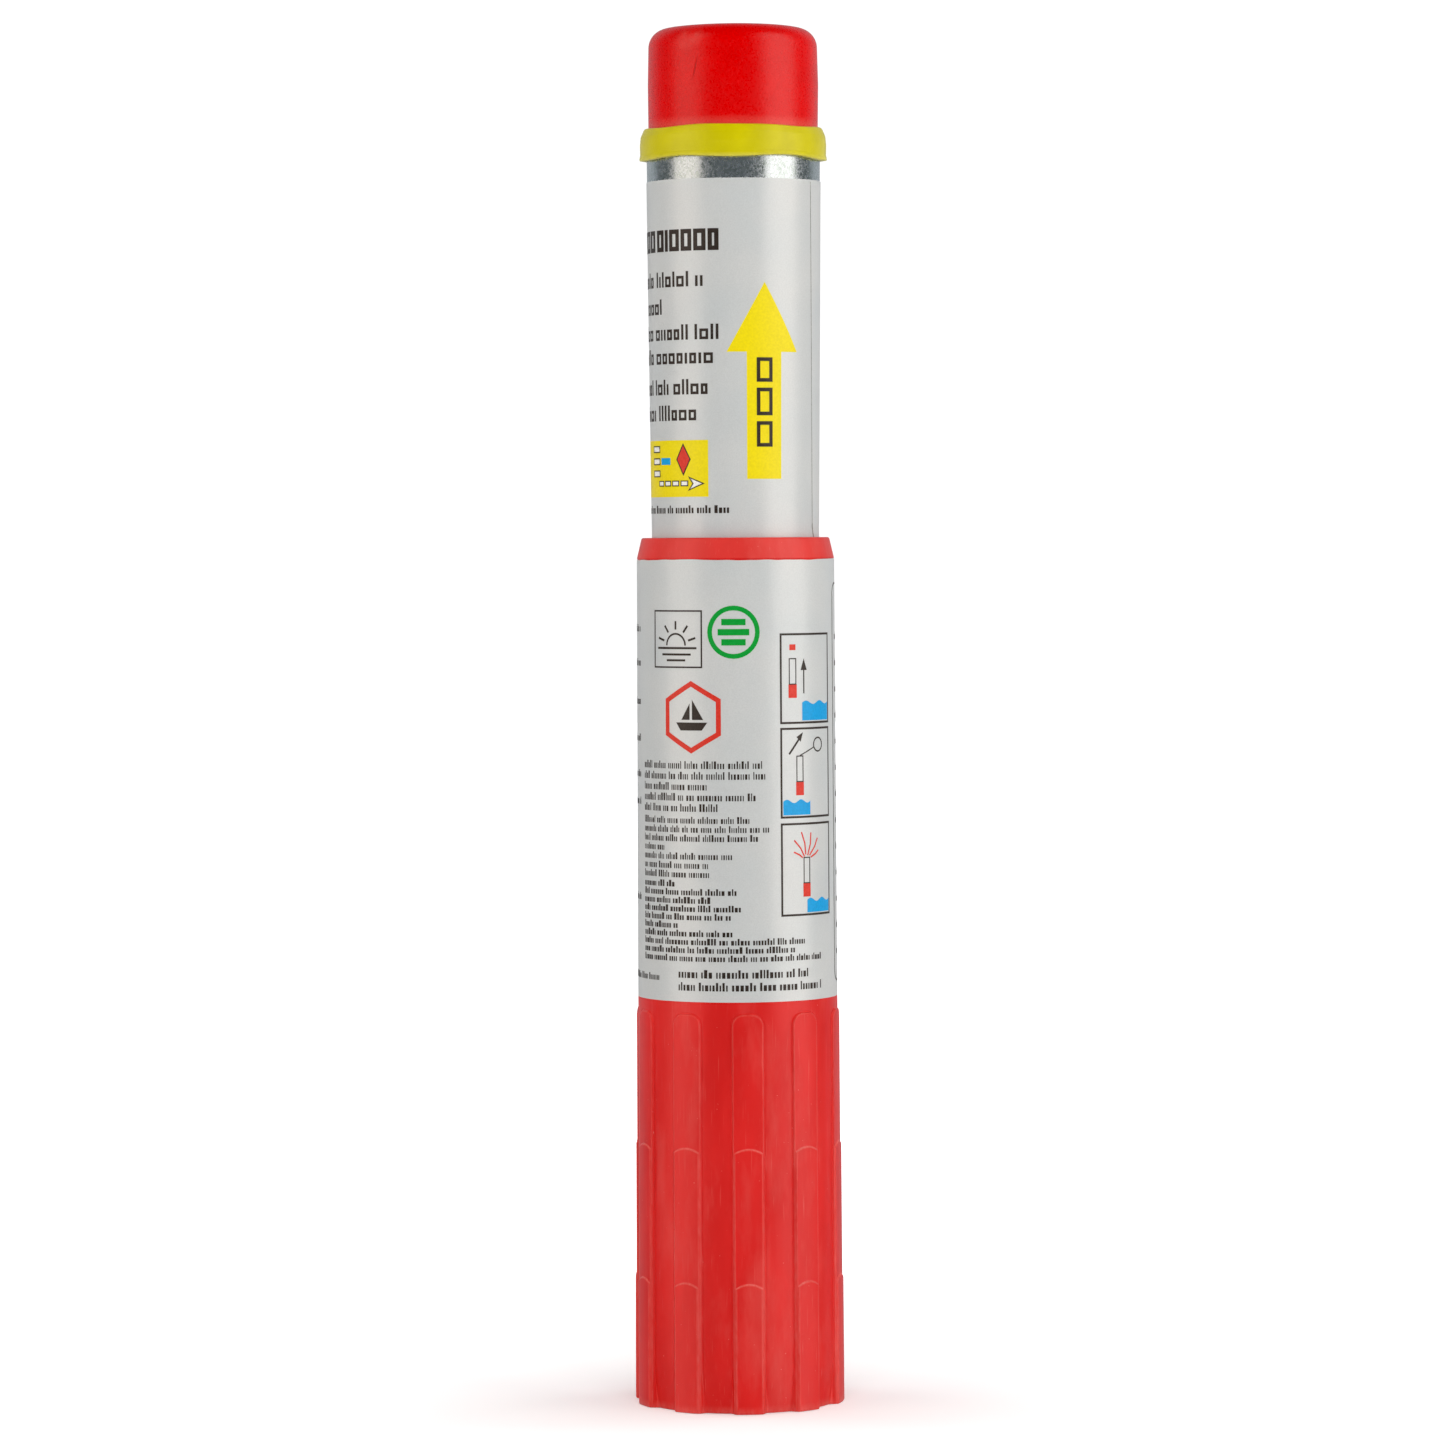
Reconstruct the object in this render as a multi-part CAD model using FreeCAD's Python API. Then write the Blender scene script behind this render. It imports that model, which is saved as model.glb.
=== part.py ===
# Marine hand flare: a steel case with a ribbed plastic handle, a pull igniter and a push-on cap.
# Frame: millimetres, +Z up the axis, origin at the centre of the handle's base, -Y is the front.
import FreeCAD, Part
import math
import os

os.makedirs("parts", exist_ok=True)

# ---------------------------------------------------------------- driving dimensions

# Handle: a moulded sleeve, a little narrower at its mouth than at its base
handle_length = 165.3
handle_mouth_wall = 3.03  # from the case to the handle's outer cone, at the lip
grip_flare = 0.46  # how much wider the cone is at z = 0 than at the lip
lip_height = 4.0
lip_chamfer = 0.94  # how far the lip narrows over its height
handle_lower_wall = 3.5
case_depth_in_handle = 40.1
seat_thickness = 2.5  # of the ledge inside the handle that the case stands on
seat_width = 2.0
mouth_depth = 2.5  # of the wider bore at the mouth, which takes the label's lower edge

# Grip ribs: each rib is a pad that steps outwards twice on its way down
rib_count = 10
rib_width = 5.9
rib_turn = 5.3  # degrees from the front towards +X, of the first rib's centre
rib_tops = (75.5, 50.1, 24.6)
rib_heights = (0.36, 0.58, 0.8)
rib_side_steps = (0.0, 0.25, 0.45)  # each pad is this much narrower, on each side
rib_top_corner = 2.2
rib_step_sagitta = 0.86
rib_foot_depth = 2.6  # how deep a rib's root reaches under the cone
gap_relief_height = 8.0  # the floor between ribs leans inwards over this height
gap_relief_depth = 0.7

# End plug: a cup pushed into the handle's base
plug_recess = 1.0
plug_depth = 7.0
plug_wall = 1.6

# Labels
film_thickness = 0.1
film_gap = 0.02
handle_label_bottom = 77.8
label_tuck = 2.0  # how far the case's label goes down into the handle's mouth
bare_metal_height = 5.6  # from the case's label up to the case's shoulder

# Case: drawn steel, a little wider at its top, with a swaged neck
case_length = 113.3  # from its lower edge to its shoulder
case_bottom_radius = 15.42
case_top_radius = 16.52
case_wall = 0.35
shoulder_height = 1.5
neck_step = 1.87  # how far the neck stands in from the case's top
neck_height = 6.0
base_disc_thickness = 0.5
base_disc_flange = 3.0

# Filling, from the bottom up
base_plug_height = 30.0
liner_wall = 0.8
composition_count = 3
first_fire_height = 6.0
wad_height = 5.0
washer_thickness = 2.0
foil_thickness = 0.2

# Igniter
igniter_embed = 4.0  # how far the igniter's tube goes into the first fire
igniter_radius = 3.0
igniter_wall = 0.45
igniter_rim = 0.8
bead_length = 8.0
wire_radius = 0.6
wire_bend = 1.6
wire_tail = 0.5  # the wire's end below the bead
pull_stroke = 12.0
ring_wire_radius = 0.8
eye_clearance = 0.3  # between the ring's wire and the eye that holds it

# Cap and sealing band
cap_wall = 1.45
cap_taper = 0.2
cap_height = 22.0
cap_top_thickness = 1.6
cap_top_round = 3.8
cap_seat_gap = 0.3
band_thickness = 1.38
band_height = 6.4
band_below_shoulder = 1.8
band_bevel_height = 1.9
band_bevel_width = 0.85
band_lean = 0.25

# Clearances
case_fit = 0.08  # case in the handle's bore
inner_fit = 0.05  # round pieces stacked inside the case
plug_fit = 0.03
cap_fit = 0.15  # cap over the neck
band_fit = 0.15  # band over the case and the cap
mouth_fit = 0.12  # handle's mouth round the label
wire_fit = 0.06  # wire in the bead
ring_swing_room = 0.6  # between the ring and the neck as it swings upright
ring_head_room = 0.6  # between the pulled, upright ring and the cap
eye_floor_room = 0.3  # between the wire's eye and the foil disc

# ---------------------------------------------------------------- heights and radii that follow

lip_bottom = handle_length - lip_height
case_bottom = handle_length - case_depth_in_handle
shoulder_bottom = case_bottom + case_length
neck_bottom = shoulder_bottom + shoulder_height
case_mouth = neck_bottom + neck_height
case_slope = (case_top_radius - case_bottom_radius) / case_length
neck_radius = case_top_radius - neck_step
neck_bore = neck_radius - case_wall

handle_shoulder_radius = case_bottom_radius + case_slope * case_depth_in_handle + handle_mouth_wall
handle_base_radius = handle_shoulder_radius + grip_flare
grip_slope = -grip_flare / lip_bottom

cap_bottom = neck_bottom + cap_seat_gap
cap_bore = neck_radius + cap_fit
cap_radius = cap_bore + cap_wall
cap_ceiling = cap_bottom + cap_height - cap_top_thickness

# The ring is as large as can swing upright inside the neck, hinged at its own edge
swing_reach = neck_bore - ring_swing_room
ring_radius = (math.sqrt(2 * swing_reach ** 2 - ring_wire_radius ** 2) - ring_wire_radius) / 2
ring_upright_height = 2 * ring_radius + ring_wire_radius
ring_level = cap_ceiling - ring_head_room - pull_stroke - ring_upright_height
eye_radius = ring_wire_radius + eye_clearance + wire_radius

foil_top = ring_level - eye_radius - wire_radius - eye_floor_room
foil_bottom = foil_top - foil_thickness
washer_bottom = foil_bottom - washer_thickness
wad_bottom = washer_bottom - wad_height
first_fire_bottom = wad_bottom - first_fire_height
base_plug_bottom = case_bottom + base_disc_thickness
base_plug_top = base_plug_bottom + base_plug_height
increment_height = (first_fire_bottom - base_plug_top) / composition_count

igniter_bottom = wad_bottom - igniter_embed
igniter_top = foil_top + igniter_rim
bead_top = washer_bottom
bead_bottom = bead_top - bead_length


def grip_radius(z):
    """Radius of the handle's outer cone."""
    return handle_base_radius + grip_slope * z


def case_radius(z):
    """Outer radius of the case below its shoulder."""
    return case_bottom_radius + case_slope * (z - case_bottom)


def case_bore(z):
    """Inner radius of the case below its shoulder."""
    return case_radius(z) - case_wall


def liner_bore(z):
    """Inner radius of the paper liner."""
    return case_bore(z) - inner_fit - liner_wall


# ---------------------------------------------------------------- shape helpers


def point(r, z):
    """A point of an outline, in the plane y = 0."""
    return FreeCAD.Vector(r, 0, z)


def line(a, b):
    """A straight edge between two (r, z) points."""
    return Part.makeLine(point(*a), point(*b))


def quarter_round(centre, radius, start_degrees):
    """A quarter circle about centre, anticlockwise from start_degrees."""
    angles = [math.radians(start_degrees + step) for step in (0, 45, 90)]
    points = [point(centre[0] + radius * math.cos(a), centre[1] + radius * math.sin(a)) for a in angles]
    return Part.Arc(*points).toShape()


def turned(edges):
    """A solid turned about the axis from the edges of its half section."""
    face = Part.Face(Part.Wire(Part.__sortEdges__(edges)))
    return face.revolve(FreeCAD.Vector(0, 0, 0), FreeCAD.Vector(0, 0, 1), 360)


def turned_polygon(points):
    """A solid turned about the axis from the corners of its half section."""
    closed = list(points) + [points[0]]
    return turned([line(a, b) for a, b in zip(closed[:-1], closed[1:])])


def fitted_plug(bottom, top, radius_at, hole=0.0):
    """A plug that follows a tapered bore, with a round hole on its axis if it has one."""
    corners = [(hole, bottom), (radius_at(bottom), bottom), (radius_at(top), top), (hole, top)]
    return turned_polygon(corners)


def save(node, shape):
    """Writes one node as a STEP file."""
    shape.exportStep("parts/" + node + ".step")


# ---------------------------------------------------------------- handle


def handle_sleeve():
    """The handle without its ribs, bored for the case and the end plug."""
    panel_drop = film_thickness + film_gap
    panel_top = lip_bottom
    seat_bottom = case_bottom - seat_thickness
    lower_bore = handle_base_radius - handle_lower_wall
    mouth_bore = case_radius(handle_length) + film_gap + film_thickness + mouth_fit
    mouth_bottom = handle_length - mouth_depth
    outline = [
        (lower_bore, 0),
        (handle_base_radius - gap_relief_depth, 0),
        (grip_radius(gap_relief_height), gap_relief_height),
        (grip_radius(handle_label_bottom), handle_label_bottom),
        (grip_radius(handle_label_bottom) - panel_drop, handle_label_bottom),
        (grip_radius(panel_top) - panel_drop, panel_top),
        (grip_radius(panel_top), panel_top),
        (handle_shoulder_radius - lip_chamfer, handle_length),
        (mouth_bore, handle_length),
        (mouth_bore, mouth_bottom),
        (case_radius(mouth_bottom) + case_fit, mouth_bottom),
        (case_radius(case_bottom) + case_fit, case_bottom),
        (case_radius(case_bottom) - seat_width, case_bottom),
        (case_radius(case_bottom) - seat_width, seat_bottom),
        (lower_bore, seat_bottom),
    ]
    return turned_polygon(outline)


def rib_outline(top, side_step, rounded_top):
    """The face of one rib pad, seen from the front, standing on the base."""
    half = rib_width / 2 - side_step
    foot_left = FreeCAD.Vector(-half, 0, 0)
    foot_right = FreeCAD.Vector(half, 0, 0)
    drop = rib_top_corner if rounded_top else rib_step_sagitta
    side_left = FreeCAD.Vector(-half, 0, top - drop)
    side_right = FreeCAD.Vector(half, 0, top - drop)
    edges = [
        Part.makeLine(side_left, foot_left),
        Part.makeLine(foot_left, foot_right),
        Part.makeLine(foot_right, side_right),
    ]
    if rounded_top:
        corner = rib_top_corner
        bulge = corner * math.sqrt(0.5)
        flat_left = FreeCAD.Vector(-half + corner, 0, top)
        flat_right = FreeCAD.Vector(half - corner, 0, top)
        mid_left = FreeCAD.Vector(-half + corner - bulge, 0, top - corner + bulge)
        mid_right = FreeCAD.Vector(half - corner + bulge, 0, top - corner + bulge)
        edges.append(Part.Arc(side_right, mid_right, flat_right).toShape())
        edges.append(Part.makeLine(flat_right, flat_left))
        edges.append(Part.Arc(flat_left, mid_left, side_left).toShape())
    else:
        crown = FreeCAD.Vector(0, 0, top)
        edges.append(Part.Arc(side_right, crown, side_left).toShape())
    return Part.Face(Part.Wire(edges))


def rib_pad(top, height, side_step, rounded_top):
    """One pad: the part of a radial block that lies between the root and the pad's own cone."""
    face = rib_outline(top, side_step, rounded_top)
    block = face.extrude(FreeCAD.Vector(0, -handle_base_radius - 2 * height, 0))
    root = handle_base_radius - rib_foot_depth
    shell = turned_polygon(
        [(root, 0), (grip_radius(0) + height, 0), (grip_radius(top) + height, top), (root, top)]
    )
    return block.common(shell)


def make_handle():
    """The moulded handle with its ring of stepped ribs."""
    handle = handle_sleeve()
    for index, (top, height, side_step) in enumerate(zip(rib_tops, rib_heights, rib_side_steps)):
        pad = rib_pad(top, height, side_step, rounded_top=(index == 0))
        pads = []
        for number in range(rib_count):
            copy = pad.copy()
            turn = rib_turn + 360.0 / rib_count * number
            copy.rotate(FreeCAD.Vector(0, 0, 0), FreeCAD.Vector(0, 0, 1), turn)
            pads.append(copy)
        handle = handle.fuse(pads)
    return handle.Solids[0]


def make_handle_end_plug():
    """A cup pushed up into the handle's base."""
    radius = handle_base_radius - handle_lower_wall - plug_fit
    top = plug_recess + plug_depth
    floor = plug_recess + plug_wall
    outline = [
        (0, plug_recess),
        (radius, plug_recess),
        (radius, top),
        (radius - plug_wall, top),
        (radius - plug_wall, floor),
        (0, floor),
    ]
    return turned_polygon(outline)


def make_handle_label():
    """The film that fills the handle's shallow panel."""
    bottom = handle_label_bottom + film_gap
    top = lip_bottom - film_gap
    outline = [
        (grip_radius(bottom) - film_thickness, bottom),
        (grip_radius(bottom), bottom),
        (grip_radius(top), top),
        (grip_radius(top) - film_thickness, top),
    ]
    return turned_polygon(outline)


# ---------------------------------------------------------------- case


def make_case_tube():
    """The steel case: a slightly tapered tube with a shoulder and a neck."""
    outline = [
        (case_bore(case_bottom), case_bottom),
        (case_radius(case_bottom), case_bottom),
        (case_top_radius, shoulder_bottom),
        (neck_radius, neck_bottom),
        (neck_radius, case_mouth),
        (neck_bore, case_mouth),
        (neck_bore, neck_bottom - case_wall),
        (case_bore(shoulder_bottom), shoulder_bottom - case_wall),
    ]
    return turned_polygon(outline)


def make_case_base_disc():
    """The pressed disc that closes the case, with its flange upwards."""
    flange_top = case_bottom + base_disc_flange
    edge = case_bore(case_bottom) - inner_fit
    outline = [
        (0, case_bottom),
        (edge, case_bottom),
        (case_bore(flange_top) - inner_fit, flange_top),
        (case_bore(flange_top) - inner_fit - base_disc_thickness, flange_top),
        (edge - base_disc_thickness, base_plug_bottom),
        (0, base_plug_bottom),
    ]
    return turned_polygon(outline)


def make_case_label():
    """The film round the case, from inside the handle's mouth to the bare metal."""
    bottom = handle_length - label_tuck
    top = shoulder_bottom - bare_metal_height
    outline = [
        (case_radius(bottom) + film_gap, bottom),
        (case_radius(bottom) + film_gap + film_thickness, bottom),
        (case_radius(top) + film_gap + film_thickness, top),
        (case_radius(top) + film_gap, top),
    ]
    return turned_polygon(outline)


# ---------------------------------------------------------------- filling


def make_base_plug():
    """The pressed clay plug that keeps the heat out of the handle, stepped round the disc's flange."""
    flange_top = case_bottom + base_disc_flange
    inside_flange = base_disc_thickness + 2 * inner_fit
    outline = [
        (0, base_plug_bottom),
        (case_bore(base_plug_bottom) - inside_flange - inner_fit, base_plug_bottom),
        (case_bore(flange_top) - inside_flange - inner_fit, flange_top + inner_fit),
        (case_bore(flange_top) - inner_fit, flange_top + inner_fit),
        (case_bore(base_plug_top) - inner_fit, base_plug_top),
        (0, base_plug_top),
    ]
    return turned_polygon(outline)


def make_liner_tube():
    """The paper tube between the charge and the case, standing on the clay plug."""
    outline = [
        (liner_bore(base_plug_top), base_plug_top),
        (case_bore(base_plug_top) - inner_fit, base_plug_top),
        (case_bore(washer_bottom) - inner_fit, washer_bottom),
        (liner_bore(washer_bottom), washer_bottom),
    ]
    return turned_polygon(outline)


def in_liner(z):
    """Radius of a piece that sits inside the liner."""
    return liner_bore(z) - inner_fit


def in_case(z):
    """Radius of a piece that sits inside the case, above the liner."""
    return case_bore(z) - inner_fit


def make_composition(number):
    """One pressed increment of the flare composition, counted from the bottom."""
    bottom = base_plug_top + increment_height * number
    return fitted_plug(bottom, bottom + increment_height, in_liner)


def make_first_fire():
    """The quick-lighting layer, with a blind hole that takes the igniter's tube."""
    hole = igniter_radius + inner_fit
    outline = [
        (0, first_fire_bottom),
        (in_liner(first_fire_bottom), first_fire_bottom),
        (in_liner(wad_bottom), wad_bottom),
        (hole, wad_bottom),
        (hole, igniter_bottom),
        (0, igniter_bottom),
    ]
    return turned_polygon(outline)


def make_retaining_wad():
    """The felt wad that holds the charge down."""
    return fitted_plug(wad_bottom, washer_bottom, in_liner, igniter_radius + inner_fit)


def make_closure_washer():
    """The card washer that closes the case above the liner."""
    return fitted_plug(washer_bottom, foil_bottom, in_case, igniter_radius + inner_fit)


def make_foil_disc():
    """The foil that keeps damp out of the charge."""
    return fitted_plug(foil_bottom, foil_top, in_case, igniter_radius + inner_fit)


# ---------------------------------------------------------------- igniter


def make_igniter_tube():
    """The brass tube that holds the friction bead."""
    bore = igniter_radius - igniter_wall
    outline = [
        (bore, igniter_bottom),
        (igniter_radius, igniter_bottom),
        (igniter_radius, igniter_top),
        (bore, igniter_top),
    ]
    return turned_polygon(outline)


def make_friction_bead():
    """The friction mix, pressed into the brass tube round the pull wire."""
    outer = igniter_radius - igniter_wall - inner_fit
    return turned_polygon(
        [
            (wire_radius + wire_fit, bead_bottom),
            (outer, bead_bottom),
            (outer, bead_top),
            (wire_radius + wire_fit, bead_top),
        ]
    )


def make_pull_wire():
    """The cranked pull wire: a stem on the axis, a bend, an arm and the eye that holds the ring."""
    stem_bottom = bead_bottom - wire_tail
    bend_start = ring_level - wire_bend
    eye_near_edge = -(ring_radius - eye_radius)
    bend_half = wire_bend * (1 - math.sqrt(0.5))
    path = Part.Wire(
        [
            Part.makeLine(point(0, stem_bottom), point(0, bend_start)),
            Part.Arc(
                point(0, bend_start),
                point(-bend_half, ring_level - bend_half),
                point(-wire_bend, ring_level),
            ).toShape(),
            Part.makeLine(point(-wire_bend, ring_level), point(eye_near_edge, ring_level)),
        ]
    )
    section = Part.Wire([Part.makeCircle(wire_radius, point(0, stem_bottom), FreeCAD.Vector(0, 0, 1))])
    stem = path.makePipeShell([section], True, True)
    eye_centre = point(-ring_radius, ring_level)
    eye = Part.makeTorus(eye_radius, wire_radius, eye_centre, FreeCAD.Vector(0, 1, 0))
    return stem.fuse(eye).Solids[0]


def make_pull_ring():
    """The finger ring, lying flat in the case's mouth."""
    return Part.makeTorus(ring_radius, ring_wire_radius, point(0, ring_level), FreeCAD.Vector(0, 0, 1))


# ---------------------------------------------------------------- cap and band


def make_cap():
    """The soft cap, pushed over the neck."""
    top = cap_bottom + cap_height
    top_radius = cap_radius - cap_taper
    inner_round = cap_top_round - cap_wall
    outer_centre = (top_radius - cap_top_round, top - cap_top_round)
    inner_centre = (cap_bore - inner_round, cap_ceiling - inner_round)
    edges = [
        line((cap_bore, cap_bottom), (cap_radius, cap_bottom)),
        line((cap_radius, cap_bottom), (top_radius, outer_centre[1])),
        quarter_round(outer_centre, cap_top_round, 0),
        line((outer_centre[0], top), (0, top)),
        line((0, top), (0, cap_ceiling)),
        line((0, cap_ceiling), (inner_centre[0], cap_ceiling)),
        quarter_round(inner_centre, inner_round, 0),
        line((cap_bore, inner_centre[1]), (cap_bore, cap_bottom)),
    ]
    return turned(edges)


def make_sealing_band():
    """The soft band that seals the joint between the cap and the case."""
    bottom = shoulder_bottom - band_below_shoulder
    top = bottom + band_height
    bevel_bottom = top - band_bevel_height
    lower_bore = case_top_radius + band_fit
    upper_bore = cap_radius + band_fit
    outer = case_top_radius + band_thickness
    outline = [
        (lower_bore, bottom),
        (outer, bottom),
        (outer - band_lean, bevel_bottom),
        (outer - band_bevel_width, top),
        (upper_bore, top),
        (upper_bore, cap_bottom),
        (lower_bore, neck_bottom),
    ]
    return turned_polygon(outline)


# ---------------------------------------------------------------- nodes

save("handle", make_handle())
save("handle_end_plug", make_handle_end_plug())
save("handle_label", make_handle_label())
save("case_tube", make_case_tube())
save("case_base_disc", make_case_base_disc())
save("case_label", make_case_label())
save("base_plug", make_base_plug())
save("liner_tube", make_liner_tube())
for increment in range(composition_count):
    save("composition_%d" % (increment + 1), make_composition(increment))
save("first_fire", make_first_fire())
save("retaining_wad", make_retaining_wad())
save("closure_washer", make_closure_washer())
save("foil_disc", make_foil_disc())
save("igniter_tube", make_igniter_tube())
save("friction_bead", make_friction_bead())
save("pull_wire", make_pull_wire())
save("pull_ring", make_pull_ring())
save("cap", make_cap())
save("sealing_band", make_sealing_band())
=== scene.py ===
"""Hand flare: a zinc-coated steel case in a ribbed polyethylene handle, with a vinyl cap and sealing band."""

import math
import random

import bmesh
import bpy
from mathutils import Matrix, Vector


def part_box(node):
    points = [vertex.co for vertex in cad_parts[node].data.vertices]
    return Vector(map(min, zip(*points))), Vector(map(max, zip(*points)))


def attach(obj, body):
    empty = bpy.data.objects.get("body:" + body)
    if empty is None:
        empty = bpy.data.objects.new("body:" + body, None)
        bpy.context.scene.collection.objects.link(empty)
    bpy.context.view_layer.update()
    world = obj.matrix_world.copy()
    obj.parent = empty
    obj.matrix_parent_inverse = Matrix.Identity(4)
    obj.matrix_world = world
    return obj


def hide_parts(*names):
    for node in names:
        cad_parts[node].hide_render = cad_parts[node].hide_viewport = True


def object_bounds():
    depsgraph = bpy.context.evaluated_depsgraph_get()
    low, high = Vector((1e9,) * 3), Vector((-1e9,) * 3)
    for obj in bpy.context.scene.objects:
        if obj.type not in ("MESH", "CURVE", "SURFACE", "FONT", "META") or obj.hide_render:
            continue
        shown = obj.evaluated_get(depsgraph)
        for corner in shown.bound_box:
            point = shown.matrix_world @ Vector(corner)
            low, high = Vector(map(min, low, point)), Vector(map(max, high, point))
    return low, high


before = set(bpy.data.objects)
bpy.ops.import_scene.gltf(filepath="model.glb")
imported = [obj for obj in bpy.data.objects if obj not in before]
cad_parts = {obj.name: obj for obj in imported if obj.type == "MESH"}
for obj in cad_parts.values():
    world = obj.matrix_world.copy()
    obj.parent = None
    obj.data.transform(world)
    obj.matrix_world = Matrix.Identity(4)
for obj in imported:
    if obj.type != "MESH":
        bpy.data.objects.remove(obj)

cad_low, cad_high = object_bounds()

MM = 0.001
SIDES = 720  # round a label or a turned metal piece, so that no facet shows
SOFT_SIDES = 360  # round a moulded piece

# ------------------------------------------------------------------ sizes read from the frame, mm


def low(node):
    """Height of a node's lowest point."""
    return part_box(node)[0][2] / MM


def high(node):
    """Height of a node's highest point."""
    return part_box(node)[1][2] / MM


def end_radius(node, height, inner=False):
    """Largest or smallest radius of a node's corners at one height."""
    radii = [
        math.hypot(v.co.x, v.co.y) / MM
        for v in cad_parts[node].data.vertices
        if abs(v.co.z / MM - height) < 0.02
    ]
    return min(radii) if inner else max(radii)


HANDLE_TOP = high("handle")
HANDLE_LABEL_LOW = low("handle_label")
HANDLE_LABEL_HIGH = high("handle_label")
CASE_LABEL_LOW = low("case_label")
CASE_LABEL_HIGH = high("case_label")
CASE_LOW = low("case_tube")
CASE_HIGH = high("case_tube")
CAP_LOW = low("cap")
CAP_HIGH = high("cap")
BAND_LOW = low("sealing_band")
BAND_HIGH = high("sealing_band")

FILM = 0.1  # thickness of both labels
FILM_GAP = 0.02
LABEL_LAP = 7.0  # how far a label's end laps over its start
LABEL_CORNER = 4.6  # the lapped end's lower corner is rounded
LAP_RISE = 0.06
WAVE_REACH = 3.0  # how far down a label's wavy top edge is felt
HANDLE_SEAM = math.radians(150)  # from the front towards the right
CASE_SEAM = math.radians(66)
CASE_SEAM_SLANT = math.radians(-5)

CAP_PATCH = (-8.2, -13.6, CAP_HIGH - 3.0)  # a pale smear on the cap
CAP_PATCH_REACH = (3.2, 4.0, 2.4)
CAP_PATCH_TILT = 20  # degrees
CAP_CREASE = (-7.1, -14.7, CAP_HIGH - 8.6)  # a short crease below it, darkened with painted shade
CAP_CREASE_REACH = (0.16, 3.0, 2.4)
CAP_CREASE_TILT = -12


def cone(node):
    """The outer radius of a tapered node as a function of height."""
    z0, z1 = low(node), high(node)
    r0, r1 = end_radius(node, z0), end_radius(node, z1)
    return lambda z: r0 + (r1 - r0) * (z - z0) / (z1 - z0)


grip_cone = cone("handle_label")
case_label_cone = cone("case_label")


def case_cone(z):
    """Outer radius of the steel case below its shoulder."""
    return case_label_cone(z) - FILM - FILM_GAP


# ------------------------------------------------------------------ camera, floor and lights


def make_camera():
    """A long lens, a metre in front and a little above the middle, tipped slightly down."""
    data = bpy.data.cameras.new("camera")
    data.sensor_width = 36
    data.lens = 140.5
    camera = bpy.data.objects.new("camera", data)
    camera.location = (-0.00245, -1.0778, 0.16503)
    camera.rotation_euler = (math.radians(90 - 1.864), math.radians(0.32), 0)
    bpy.context.collection.objects.link(camera)
    bpy.context.scene.camera = camera


def beside(azimuth, reach=1.0, height=0.13):
    """A place round the flare, in degrees from the camera's side towards the right."""
    side = math.radians(azimuth)
    return reach * math.sin(side), -reach * math.cos(side), height


def make_light(name, place, width, height, radiance, tint):
    """A softbox that faces the middle of the flare, as bright as its radiance when seen directly."""
    data = bpy.data.lights.new(name, "AREA")
    data.shape = "RECTANGLE"
    data.size = width
    data.size_y = height
    data.energy = radiance * math.pi * width * height
    data.color = linear(tint)[:3]
    light = bpy.data.objects.new(name, data)
    light.location = place
    middle = Vector((0, 0, (cad_low.z + cad_high.z) / 2))
    light.rotation_euler = (middle - Vector(place)).to_track_quat("-Z", "Y").to_euler()
    bpy.context.collection.objects.link(light)
    return light


def make_fill(name, place, width, height, radiance):
    """A softbox that lifts the shadows but leaves no highlight."""
    fill = make_light(name, place, width, height, radiance, "#FFFFFF")
    fill.visible_glossy = False
    fill.data.cycles.use_multiple_importance_sampling = False


def make_lights():
    """Tall strip boxes at the sides, with fills behind them and in front."""
    height = 2.6
    for name, azimuth, width, radiance, tint in (
        ("left_box", -65, 0.74, 1.05, "#FFEEE1"),
        ("right_box", 66.5, 0.88, 1.48, "#FFF5EE"),
    ):
        make_light(name, beside(azimuth), width, height, radiance, tint)
    make_fill("left_fill", beside(-112), 0.6, height, 1.7)
    make_fill("right_fill", beside(115), 0.6, height, 1.8)
    make_fill("front_fill", (0.1, -1.5, 0.75), 1.2, 0.8, 4.55)


def make_world():
    """A room that is dim in front and light behind, seen against a plain white backdrop."""
    world = bpy.data.worlds.new("studio")
    world.use_nodes = True
    tree = world.node_tree
    tree.nodes.clear()
    way = add(tree, "ShaderNodeTexCoord").outputs["Generated"]
    depth = add(tree, "ShaderNodeSeparateXYZ", {0: way}).outputs[1]
    ends = {"Value": depth, "From Min": 0.45, "From Max": 0.7, "To Min": 0.155, "To Max": 0.45}
    room = add(tree, "ShaderNodeBackground", {"Color": "#F6FAFF", "Strength": add(tree, RANGE, ends)})
    backdrop = add(tree, "ShaderNodeBackground", {"Color": "#FFFFFF", "Strength": 1.05})
    seen = add(tree, "ShaderNodeLightPath").outputs["Is Camera Ray"]
    mixed = add(tree, "ShaderNodeMixShader", {0: seen, 1: room, 2: backdrop})
    add(tree, "ShaderNodeOutputWorld", {"Surface": mixed})
    bpy.context.scene.world = world


def make_floor():
    """A plain pale studio floor, level with the flare's base."""
    half = 4.0
    mesh = bpy.data.meshes.new("floor")
    level = cad_low.z - 0.00005
    corners = [(-half, -half, level), (half, -half, level), (half, half, level), (-half, half, level)]
    mesh.from_pydata(corners, [], [(0, 1, 2, 3)])
    floor = bpy.data.objects.new("floor", mesh)
    bpy.context.collection.objects.link(floor)
    floor.data.materials.append(pale_paper())
    floor.visible_glossy = False


# ------------------------------------------------------------------ node and colour helpers

MATH = "ShaderNodeMath"
VECTOR = "ShaderNodeVectorMath"
RANGE = "ShaderNodeMapRange"
MIX = "ShaderNodeMix"


def linear(hex_colour):
    """A linear RGBA colour from an sRGB hex value."""
    channels = [int(hex_colour[i : i + 2], 16) / 255 for i in (1, 3, 5)]
    return tuple(c / 12.92 if c <= 0.04045 else ((c + 0.055) / 1.055) ** 2.4 for c in channels) + (1.0,)


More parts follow.
